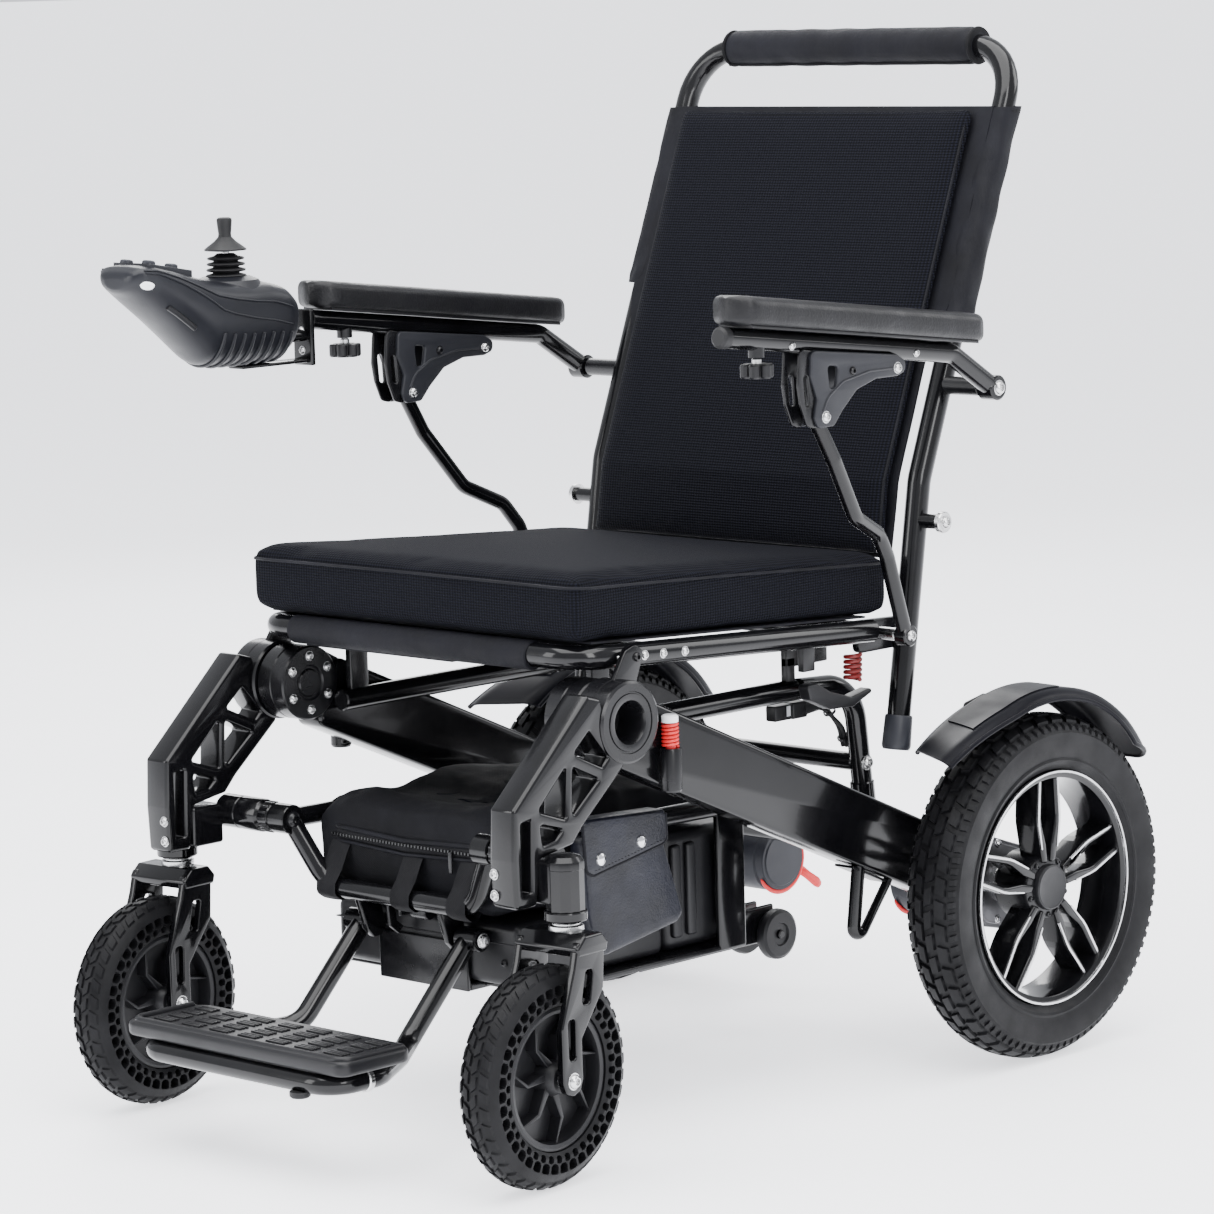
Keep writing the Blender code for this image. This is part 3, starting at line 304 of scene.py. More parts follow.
def rounded(points, radius, steps=6, closed=False):
    points = [Vector(p) for p in points]
    count, found = len(points), []
    for i, corner in enumerate(points):
        if not closed and i in (0, count - 1):
            found.append(corner)
            continue
        back, ahead = points[i - 1] - corner, points[(i + 1) % count] - corner
        half = back.angle(ahead) / 2
        if half > pi / 2 - 0.02:
            found.append(corner)
            continue
        reach = min(radius / tan(half), 0.48 * min(back.length, ahead.length))
        bend = reach * tan(half)
        middle = corner + (back.normalized() + ahead.normalized()).normalized() * (bend / sin(half))
        first = corner + back.normalized() * reach - middle
        last = corner + ahead.normalized() * reach - middle
        sweep = first.angle(last)
        for k in range(steps + 1):
            share = k / steps
            found.append(middle + (first * sin((1 - share) * sweep) + last
                * sin(share * sweep)) / sin(sweep))
    return found


def sweep(name, path, radius, look, sides=20, wide=1.0, flatten=None):
    """A round bar along a path, with softened ends. radius may be a function of the share along it."""
    path = [Vector(p) for p in path]
    bm = bmesh.new()
    count = len(path)
    tangents = []
    for i in range(count):
        before, after = path[max(i - 1, 0)], path[min(i + 1, count - 1)]
        tangents.append((after - before).normalized())
    side = tangents[0].orthogonal().normalized()
    if flatten:
        side = (Vector(flatten) - tangents[0] * Vector(flatten).dot(tangents[0])).normalized()
    rings = []
    size_at = radius if callable(radius) else (lambda share: radius)
    stations = []
    for i in range(count):
        if i:
            turn = tangents[i - 1].rotation_difference(tangents[i])
            side = (turn @ side).normalized()
        stations.append((path[i], tangents[i], side.copy(), size_at(i / (count - 1)), 1.0))
    soft = min(0.0012, size_at(0) * 0.25, (path[1] - path[0]).length * 0.4)
    head, tail = stations[0], stations[-1]
    stations[0] = (head[0] + head[1] * soft, *head[1:])
    stations[-1] = (tail[0] - tail[1] * soft, *tail[1:])
    stations.insert(0, (head[0], head[1], head[2], head[3] - soft, 1.0))
    stations.append((tail[0], tail[1], tail[2], tail[3] - soft, 1.0))
    for place, along, across, size, _ in stations:
        up = along.cross(across)
        ring = []
        for k in range(sides):
            angle = 2 * pi * k / sides
            ring.append(bm.verts.new(place + across * (size * wide * cos(angle)) + up
                * (size * sin(angle))))
        rings.append(ring)
    loft(bm, rings)
    return made_object(name, bm, look)


def tube(name, points, radius, look, bend=0.03, steps=8, sides=20, **more):
    return sweep(name, rounded(points, bend, steps), radius, look, sides, **more)


def rod(name, start, end, radius, look, sides=24):
    return sweep(name, [start, end], radius, look, sides)


def lathe(name, profile, centre, look, axis=(1, 0, 0), steps=64, sharp=30):
    """A closed or open (radius, along) profile turned about an axis through centre."""
    place = Matrix.Translation(centre) @ Vector(axis).to_track_quat("Z", "Y").to_matrix().to_4x4()
    bm = bmesh.new()
    rings = []
    for radius, along in profile:
        if radius < 1e-6:
            rings.append([bm.verts.new(place @ Vector((0, 0, along)))])
            continue
        rings.append([bm.verts.new(place @ Vector((radius * cos(a), radius * sin(a), along)))
            for a in (2 * pi * k / steps for k in range(steps))])
    whole = profile[0][0] > 1e-6 and profile[-1][0] > 1e-6
    pairs = list(zip(rings, rings[1:])) + ([(rings[-1], rings[0])] if whole else [])
    for low, high in pairs:
        for k in range(steps):
            nxt = (k + 1) % steps
            if len(low) == 1 and len(high) == 1:
                continue
            if len(low) == 1:
                bm.faces.new((low[0], high[nxt], high[k]))
            elif len(high) == 1:
                bm.faces.new((low[k], low[nxt], high[0]))
            else:
                bm.faces.new((low[k], low[nxt], high[nxt], high[k]))
    return made_object(name, bm, look, sharp)


def plate(name, outline, x_low, x_high, look, bevel=0.0015, corner=0.0, holes=(), steps=4, upright=None,
        hole_corner=0.003):
    """A flat outline in YZ, thick along X, with rounded edges and holes."""
    data = bpy.data.curves.new(name, "CURVE")
    data.dimensions = "2D"
    data.fill_mode = "BOTH"
    x_low, x_high = sorted((x_low, x_high))
    data.extrude = (x_high - x_low) / 2 - bevel
    data.bevel_depth = bevel
    data.bevel_resolution = 2
    data.offset = -bevel
    for index, ring in enumerate((outline, *holes)):
        points = [Vector((y, z, 0)) for y, z in ring]
        soft = corner if index == 0 else hole_corner
        if soft:
            points = rounded(points, soft, steps, closed=True)
        spline = data.splines.new("POLY")
        spline.points.add(len(points) - 1)
        spline.use_cyclic_u = True
        for point, place in zip(spline.points, points):
            point.co = (*place, 1)
    curve = bpy.data.objects.new(name + "_curve", data)
    bpy.context.scene.collection.objects.link(curve)
    bpy.context.view_layer.update()
    graph = bpy.context.evaluated_depsgraph_get()
    mesh = bpy.data.meshes.new_from_object(curve.evaluated_get(graph))
    bpy.data.objects.remove(curve)
    bm = bmesh.new()
    bm.from_mesh(mesh)
    stand = upright or (Matrix.Translation(((x_low + x_high) / 2, 0, 0))
        @ Matrix(((0, 0, 1, 0), (1, 0, 0, 0), (0, 1, 0, 0), (0, 0, 0, 1))))
    bmesh.ops.remove_doubles(bm, verts=bm.verts, dist=1e-6)
    bmesh.ops.transform(bm, matrix=stand, verts=bm.verts)
    return made_object(name, bm, look)


def block(name, low, high, look, bevel=0.002, segments=3, turn=0.0):
    low, high = Vector(low), Vector(high)
    bm = bmesh.new()
    bmesh.ops.create_cube(bm, size=1, matrix=Matrix.Diagonal((*(high - low), 1)))
    bmesh.ops.bevel(bm, geom=bm.edges[:], offset=bevel, segments=segments, affect="EDGES", profile=0.5)
    place = Matrix.Translation((low + high) / 2) @ Matrix.Rotation(turn, 4, "X")
    bmesh.ops.transform(bm, matrix=place, verts=bm.verts)
    return made_object(name, bm, look)


def join(name, objects):
    """One object of several, which keeps each one's materials."""
    bm = bmesh.new()
    looks = []
    for made in objects:
        mesh = made.data
        if mesh.materials[0] not in looks:
            looks.append(mesh.materials[0])
        index = looks.index(mesh.materials[0])
        start = len(bm.faces)
        bm.from_mesh(mesh)
        bm.faces.ensure_lookup_table()
        for face in bm.faces[start:]:
            face.material_index = index
    mesh = bpy.data.meshes.new(name)
    bm.to_mesh(mesh)
    bm.free()
    made = bpy.data.objects.new(name, mesh)
    bpy.context.scene.collection.objects.link(made)
    for look in looks:
        mesh.materials.append(look)
    made["look"] = looks[0].name
    for old in objects:
        bpy.data.objects.remove(old)
    return made


def piece(made, body, *nodes):
    """Rides on its body and stands for the named nodes, which it hides; it drops the name of its first
    material.
    """
    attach(made, body)
    if nodes:
        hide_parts(*nodes)
    del made["look"]
    return made


def turned_by(objects, matrix):
    for made in objects:
        made.data.transform(matrix)
    return objects


def screw(centre, axis, radius, look=None):
    """A button-head bolt on a washer, with a round recess in its head."""
    look = look or ZINC
    r = radius
    dome = [(0, 0.15 * r), (0.4 * r, 0.15 * r), (0.46 * r, 0.62 * r), (0.62 * r, 0.6 * r),
        (0.86 * r, 0.42 * r), (r, 0.16 * r), (r, 0.0), (1.18 * r, -0.02 * r), (1.18 * r, -0.22 * r),
        (0, -0.22 * r)]
    return lathe("screw", dome, centre, look, axis, 18)


def coil(name, low, high, radius, wire, turns, look):
    low, high = Vector(low), Vector(high)
    along = high - low
    across = along.orthogonal().normalized()
    up = along.normalized().cross(across)
    count = int(turns * 16)
    path = [low + along * (k / count) + (across * cos(2 * pi * turns * k / count) + up
        * sin(2 * pi * turns * k / count)) * radius for k in range(count + 1)]
    return sweep(name, path, wire, look, 8)


def post_y(z):
    for (y0, z0), (y1, z1) in zip(POST_LINE, POST_LINE[1:]):
        if z <= z1:
            return y0 + (z - z0) / (z1 - z0) * (y1 - y0)
    return POST_LINE[-1][0]


def arm_z(y):
    return ARM_FRONT[1] + (y - ARM_FRONT[0]) / (ARM_KNEE[0] - ARM_FRONT[0]) * (ARM_KNEE[1] - ARM_FRONT[1])


def seat_z(y):
    return 0.429 - 0.055 * (y + 0.277)


def cushion_floor(y):
    """The height of the cushion's underside at y."""
    return 0.429 - 0.055 * (y + 0.277) + 0.0146


def points_of(mesh):
    co = np.empty(len(mesh.vertices) * 3)
    mesh.vertices.foreach_get("co", co)
    return co.reshape(-1, 3)


def move_points(mesh, co):
    mesh.vertices.foreach_set("co", co.ravel())
    mesh.update()


def loft(bm, rings):
    """Faces that join closed rings of vertices, with a cap at each end."""
    around = len(rings[0])
    for low, high in zip(rings, rings[1:]):
        for k in range(around):
            after = (k + 1) % around
            bm.faces.new((low[k], low[after], high[after], high[k]))
    bm.faces.new(rings[0][::-1])
    bm.faces.new(rings[-1])


def band(name, path, wide, thick, look, across=(1, 0, 0)):
    """A flat strap along a path."""
    return sweep(name, path, thick / 2, look, 12, wide=wide / thick, flatten=across)


# ---- rear frame -----------------------------------------------------------------------------------
def beam_point(along, above):
    run = Vector((AXLE_Y - HINGE_Y, AXLE_Z - HINGE_Z))
    square = Vector((-run.y, run.x)).normalized()
    place = Vector((HINGE_Y, HINGE_Z)) + run * along + square * above
    return place.x, place.y


def main_beam(side, word):
    inner, outer = side * 0.165, side * 0.1996
    half = 0.0328
    bar = plate("beam", [beam_point(0.045, half), beam_point(0.985, half * 0.95),
        beam_point(1.055, half * 0.3), beam_point(1.055, -half * 0.3), beam_point(0.985, -half * 0.95),
        beam_point(0.045, -half)], inner, outer, PAINT, 0.0045, 0.01, steps=5)
    face = lathe("drum", [(0, 0.0176), (0.0115, 0.0176), (0.013, 0.0155), (0.015, 0.0155),
        (0.0165, 0.0176), (0.0323, 0.0176), (0.0338, 0.0162), (0.0338, 0.002), (0.0328, 0.001),
        (0.0338, 0.0), (0.0338, -0.015), (0.0323, -0.0164), (0, -0.0164)],
        (side * 0.182, HINGE_Y, HINGE_Z), CAST, (-side, 0, 0))
    bolts = [screw((side * 0.164, HINGE_Y + 0.0245 * cos(a), HINGE_Z + 0.0245 * sin(a)), (-side, 0, 0),
        0.004) for a in (radians(30 + 60 * k) for k in range(6))]
    gusset = plate("gusset", [(-0.196, 0.412), (-0.15, 0.388), (-0.166, 0.372)], inner + side * 0.004,
        outer - side * 0.004, CAST, 0.002, 0.004, [[(-0.186, 0.401), (-0.164, 0.389), (-0.17, 0.383)]],
        hole_corner=0.001)
    loop = tube("loop", [(side * 0.19, 0.147, 0.208), (side * 0.19, 0.136, 0.131),
        (side * 0.19, 0.147, 0.126), (side * 0.19, 0.193, 0.181)], 0.0042, PAINT, 0.007, sides=12,
        wide=1.5)
    guide = lathe("guide", [(0.0058, 0.019), (0.0088, 0.019), (0.0096, 0.017), (0.0096, -0.017),
        (0.0084, -0.019), (0, -0.019), (0, -0.012), (0.0058, -0.012)], (side * 0.2085, -0.118, 0.3185),
        CAST, (0, 0, 1), 32)
    weld = block("weld", (side * 0.202 - 0.0035, -0.1245, 0.303), (side * 0.202 + 0.0035, -0.1115, 0.334),
        CAST, 0.0015)
    seam = plate("seam", [beam_point(0.975, half), beam_point(0.985, half),
        beam_point(0.985, -half), beam_point(0.975, -half)], inner - side * 0.0004,
        outer + side * 0.0004, CAST, 0.0003)
    pad = plate("beam_pad", [beam_point(0.7, -half - 0.0002), beam_point(0.8, -half - 0.0002),
        beam_point(0.8, -half - 0.0026), beam_point(0.7, -half - 0.0026)], inner + side * 0.006,
        outer - side * 0.006, CAST, 0.0006)
    parts = [bar, face, *bolts, gusset, loop, guide, weld, seam, pad]
    piece(join("beam_assembly_" + word, parts), "rear_frame", "main_beam_" + word)


def lock_plunger(side, word):
    x, y = side * 0.2085, -0.118
    spring = coil("spring", (x, y, 0.3385), (x, y, 0.36), 0.0064, 0.0014, 6.5, RED)
    stem = rod("stem", (x, y, 0.3075), (x, y, 0.3625), 0.0048, RED)
    cap = lathe("cap", [(0, 0.0035), (0.0055, 0.0035), (0.0074, 0.0022), (0.0074, -0.0028),
        (0.006, -0.0036), (0, -0.0036)], (x, y, 0.363), MILKY, (0, 0, 1), 32)
    piece(join("lock_catch_" + word, [spring, stem, cap]), "plunger_" + word, "lock_plunger_" + word)


def motor(side, word):
    y, z = AXLE_Y + 0.05, AXLE_Z - 0.024
    body = lathe("can", [(0, 0.0), (0.025, 0.0), (0.0262, -0.0012), (0.029, -0.0012), (0.03, -0.0024),
        (0.03, -0.0105), (0.0318, -0.0118), (0.0318, -0.05), (0.0308, -0.0508), (0.0308, -0.0524),
        (0.0318, -0.0532), (0.0318, -0.118), (0, -0.118)], (side * 0.0802, y, z), GREY_PLASTIC,
        (-side, 0, 0))
    casing = plate("gearbox", [(y + 0.04, z - 0.02), (y + 0.03, z + 0.036),
        (AXLE_Y - 0.02, AXLE_Z + 0.046), (AXLE_Y - 0.046, AXLE_Z), (AXLE_Y - 0.026, AXLE_Z - 0.04),
        (y + 0.01, z - 0.036)], side * 0.2005, side * 0.23, CASTING, 0.003, 0.018, steps=6)
    rim = plate("flange", [(y + 0.036, z - 0.018), (y + 0.027, z + 0.032),
        (AXLE_Y - 0.018, AXLE_Z + 0.041), (AXLE_Y - 0.041, AXLE_Z), (AXLE_Y - 0.024, AXLE_Z - 0.036),
        (y + 0.008, z - 0.032)], side * 0.229, side * 0.236, CASTING, 0.002, 0.018, steps=6)
    boss = lathe("boss", [(0, 0.006), (0.018, 0.006), (0.02, 0.004), (0.02, -0.006), (0, -0.006)],
        (side * 0.2375, AXLE_Y, AXLE_Z), ZINC, (side, 0, 0), 40)
    bolts = [screw((side * 0.2364, AXLE_Y + 0.036 * cos(a), AXLE_Z + 0.036 * sin(a)), (side, 0, 0),
        0.0034, CHROME) for a in (radians(100 + 52 * k) for k in range(4))]
    piece(join("motor_unit_" + word, [body, casing, rim, boss, *bolts]), "rear_frame", "motor_" + word)


def clutch_lever(side, word):
    y, z = AXLE_Y + 0.05, AXLE_Z - 0.024
    x = side * 0.0853
    arc = [radians(-150 + 205 * k / 40) for k in range(41)]
    ring = sweep("ring", [(x, y + 0.0318 * cos(a), z + 0.0318 * sin(a)) for a in arc],
        lambda share: 0.0008 + 0.0024 * sin(pi * share) ** 0.5, RED, 16)
    handle = sweep("handle", [(x, y + 0.03, z - 0.015), (x, y + 0.04, z - 0.022),
        (x, y + 0.053, z - 0.031), (x, y + 0.058, z - 0.035)],
        lambda share: (0.0048, 0.0044, 0.0052, 0.004)[round(share * 3)], RED, 16, wide=0.62,
        flatten=(1, 0, 0))
    piece(join("clutch_ring_" + word, [ring, handle]), "clutch_" + word, "clutch_lever_" + word)


def fender(side, word):
    """The mudguard: a thin arch whose sides roll down, with a raised panel on its crown."""
    low, high = sorted((side * 0.2392, side * 0.3042))
    middle, half = (low + high) / 2, (high - low) / 2

    def spot(share, t, lift):
        """A point of the arch: share runs from its front end to its rear end, t from side to side."""
        outward = (t * side + 1) / 2
        front, rear = 132 + 7 * outward, 34 + 11 * abs(t) ** 4
        angle = radians(front + (rear - front) * share)
        flare = max(0.0, (angle - radians(108)) / radians(30)) ** 1.5 * (0.35 + 0.65 * outward)
        roll = (0.006 + 0.0095 * max(0.0, share - 0.35)) * max(0.0, (abs(t) - 0.62) / 0.38) ** 2
        reach = 0.1835 + 0.026 * flare + lift - roll - 0.004 * max(0.0, share - 0.7) / 0.3
        pinch = 1 - 0.1 * max(0.0, share - 0.86) / 0.14
        return (middle + t * half * pinch, AXLE_Y + reach * cos(angle), AXLE_Z + reach * sin(angle))

    def arch(name, shares, reach_across, lift, thick, columns=44, rows=16):
        bm = bmesh.new()
        top, bottom = ([[bm.verts.new(spot(shares[0] + (shares[1] - shares[0]) * i / columns,
            (2 * j / rows - 1) * reach_across, lift - layer)) for j in range(rows + 1)]
            for i in range(columns + 1)] for layer in (0.0, thick))
        for i in range(columns):
            for j in range(rows):
                bm.faces.new((top[i][j], top[i][j + 1], top[i + 1][j + 1], top[i + 1][j]))
                bm.faces.new((bottom[i][j], bottom[i + 1][j], bottom[i + 1][j + 1], bottom[i][j + 1]))
            for j in (0, rows):
                bm.faces.new((top[i][j], top[i + 1][j], bottom[i + 1][j], bottom[i][j]))
        for j in range(rows):
            for i in (0, columns):
                bm.faces.new((top[i][j], top[i][j + 1], bottom[i][j + 1], bottom[i][j]))
        return made_object(name, bm, FENDER_PLASTIC, 50)

    shell = arch("shell", (0.0, 1.0), 1.0, 0.0, 0.0024)
    panel = arch("panel", (0.14, 0.52), 0.62, 0.0012, 0.0024, 24, 10)
    edge = [spot(k / 40, 1, -0.0012) for k in range(41)]
    rear_edge = [spot(1, 1 - k / 10, -0.0012) for k in range(1, 21)]
    lip = sweep("lip", edge + rear_edge + [spot(1 - k / 40, -1, -0.0012) for k in range(1, 41)], 0.0022,
        FENDER_PLASTIC, 10)
    foot = plate("foot", [(AXLE_Y - 0.058, 0.209), (AXLE_Y - 0.02, 0.209), (AXLE_Y - 0.024, 0.338),
        (AXLE_Y - 0.056, 0.332)], side * 0.2388, side * 0.2414, CAST, 0.0008, 0.004)
    shelf = plate("shelf", [(AXLE_Y - 0.06, 0.208), (AXLE_Y - 0.02, 0.208), (AXLE_Y - 0.02, 0.223),
        (AXLE_Y - 0.06, 0.233)], side * 0.2005, side * 0.24, CAST, 0.0012, 0.002)
    piece(join("mudguard_" + word, [shell, panel, lip, foot, shelf]), "rear_frame", "fender_" + word)


# ---- wheels -----------------------------------------------------------------------------------------
def crown(radius, half, x):
    """How far out the tread's surface is at x across the tyre."""
    return radius - 0.0135 * min(1.0, abs(x) / half) ** 2.7


def tread_blocks(centre, radius, half, rows, count, share, height, slant):
    """Raised tread blocks: rows of (inner, outer) bounds across, mirrored and staggered."""
    bm = bmesh.new()
    pitch = 2 * pi / count
    for number in range(count):
        for side in (1, -1):
            for row, (inner, outer) in enumerate(rows):
                start = pitch * (number + (0.5 if side < 0 else 0.0) + 0.37 * row)
                grid = {}
                for level in (0, 1):
                    inset = 0.0007 * level
                    for i in range(4):
                        across = inner + inset + (outer - inner - 2 * inset) * i / 3
                        lean = slant * pitch * (across - inner) / (outer - inner) * (1 if row % 2 else -1)
                        for j in range(4):
                            edge = inset / radius
                            angle = start + lean + edge + (pitch * share - 2 * edge) * j / 3
                            reach = crown(radius - height, half, across) + (height if level else -0.0012)
                            place = (centre[0] + side * across, centre[1] + reach * cos(angle),
                                centre[2] + reach * sin(angle))
                            if level or i in (0, 3) or j in (0, 3):
                                grid[level, i, j] = bm.verts.new(place)
                for i in range(3):
                    for j in range(3):
                        bm.faces.new([grid[1, i + a, j + b] for a, b in ((0, 0), (1, 0), (1, 1), (0, 1))])
                rim = ([(i, 0) for i in range(3)] + [(3, j) for j in range(3)]
                    + [(i, 3) for i in (3, 2, 1)] + [(0, j) for j in (3, 2, 1)])
                for here, there in zip(rim, rim[1:] + rim[:1]):
                    bm.faces.new((grid[0, *here], grid[0, *there], grid[1, *there], grid[1, *here]))
    return made_object("blocks", bm, TYRE, 30)


def tyre_body(centre, radius, half, bead, steps, holes, count):
    """The tyre's carcass, turned as one skin; with holes, its sides carry two rows of round pockets."""
    deep = 30 if holes else 10
    shoulder = radius - 0.0135
    profile = []
    for k in range(deep + 1):
        share = k / deep
        swell = 0.86 + 0.14 * min(1, share * 3.5) if holes else 0.76 + 0.24 * sin(share * pi / 2) ** 0.8
        if not holes and 0.12 < share < 0.22:
            swell += 0.05
        profile.append((bead + (shoulder - bead) * share, half * swell))
    profile += [(crown(radius, half, half * x), half * x) for x in (0.97, 0.9, 0.8, 0.66, 0.5, 0.3, 0.12)]
    profile += [(r, -x) for r, x in profile[::-1]]
    pitch = 2 * pi / count
    bm = bmesh.new()
    rings = []
    for i in range(steps):
        angle = 2 * pi * i / steps
        ring = []
        for r, x in profile:
            sunk = 0.0
            for row_r, size, phase in holes:
                off = ((angle / pitch + phase + 0.5) % 1.0 - 0.5) * pitch * row_r
                if r < shoulder and ((r - row_r) ** 2 + off ** 2) ** 0.5 < size:
                    sunk = 0.0095
            ring.append(bm.verts.new((centre[0] + x - sunk * (1 if x > 0 else -1),
                centre[1] + r * cos(angle), centre[2] + r * sin(angle))))
        rings.append(ring)
    count_across = len(profile)
    for low, high in zip(rings, rings[1:] + rings[:1]):
        for j in range(count_across):
            bm.faces.new((low[j], low[(j + 1) % count_across], high[(j + 1) % count_across], high[j]))
    return made_object("carcass", bm, TYRE, 32)


def rear_tyre(side, word):
    centre, half, height = (side * 0.2728, AXLE_Y, AXLE_Z), 0.029, 0.003
    parts = [tyre_body(centre, AXLE_Z - height, half, 0.1088, 192, (), 46),
        tread_blocks(centre, AXLE_Z, half, ((0.001, 0.0098), (0.012, 0.0208)), 46, 0.76, height, 0.16),
        tread_blocks(centre, AXLE_Z, half, ((0.0226, 0.0276),), 92, 0.62, 0.0022, 0.1)]
    for edge in (1, -1):
        parts.append(lathe("ridge", [(0.115, 0.0262), (0.1172, 0.0271), (0.1194, 0.0262),
            (0.1172, 0.024)], centre, TYRE, (edge, 0, 0), 128))
    piece(join("rear_tread_" + word, parts), "rear_wheel_" + word, "rear_tyre_" + word)


def spoke_point(centre, angle, t, r):
    """A (y, z) point: r out from the centre along the spoke's angle, and t to its side."""
    return (centre[1] + r * cos(angle) - t * sin(angle), centre[2] + r * sin(angle) + t * cos(angle))


def rear_rim(side, word):
    centre = (side * 0.2728, AXLE_Y, AXLE_Z)
    parts = [lathe("barrel", [(0.1078, 0.0232), (0.1078, 0.0), (0.1078, -0.0235), (0.104, -0.0248),
        (0.1005, -0.0238), (0.0985, -0.015), (0.097, 0.0), (0.0985, 0.014), (0.101, 0.0216),
        (0.104, 0.0232)], centre, PAINT, (side, 0, 0), 96),
        lathe("bright_ring", [(0.1058, 0.0254), (0.1076, 0.0254), (0.108, 0.0246), (0.108, 0.0232),
        (0.1054, 0.0232)], centre, ALLOY, (side, 0, 0), 96),
        lathe("hub", [(0, 0.0165), (0.024, 0.0165), (0.029, 0.015), (0.031, 0.011), (0.031, -0.02),
        (0.029, -0.0225), (0, -0.0225)], centre, CAST, (side, 0, 0), 64),
        lathe("cap", [(0, 0.0218), (0.0176, 0.0218), (0.019, 0.0222), (0.0206, 0.0214), (0.0212, 0.02),
        (0.0212, 0.012), (0, 0.012)], centre, PLASTIC, (side, 0, 0), 64)]
    for k in range(5):
        angle = radians(90 - 72 * k)
        for hand in (-1, 1):
            bar = [(0.002, 0.022), (0.0095, 0.024), (0.0165, 0.058), (0.0168, 0.066), (0.0142, 0.101),
                (0.0086, 0.101), (0.0106, 0.066), (0.0095, 0.058), (0.004, 0.04)]
            outline = [spoke_point(centre, angle, hand * t, r) for t, r in bar]
            parts.append(plate("spoke", outline, centre[0] - side * 0.008, centre[0] + side * 0.019,
                PAINT, 0.002, 0.002))
            edge = [(0.0138, 0.1045), (0.0163, 0.0655), (0.0158, 0.0585), (0.0118, 0.036),
                (0.0102, 0.0362), (0.0136, 0.0588), (0.0139, 0.0655), (0.0112, 0.1045)]
            outline = [spoke_point(centre, angle, hand * t, r) for t, r in edge]
            parts.append(plate("edge", outline, centre[0] + side * 0.0165, centre[0] + side * 0.0198,
                ALLOY, 0.0004))
        parts.append(screw((centre[0] + side * 0.0165, *spoke_point(centre, angle + radians(36), 0,
            0.0255)), (side, 0, 0), 0.0026, CAST))
    piece(join("rim_" + word, parts), "rear_wheel_" + word, "rear_rim_" + word)


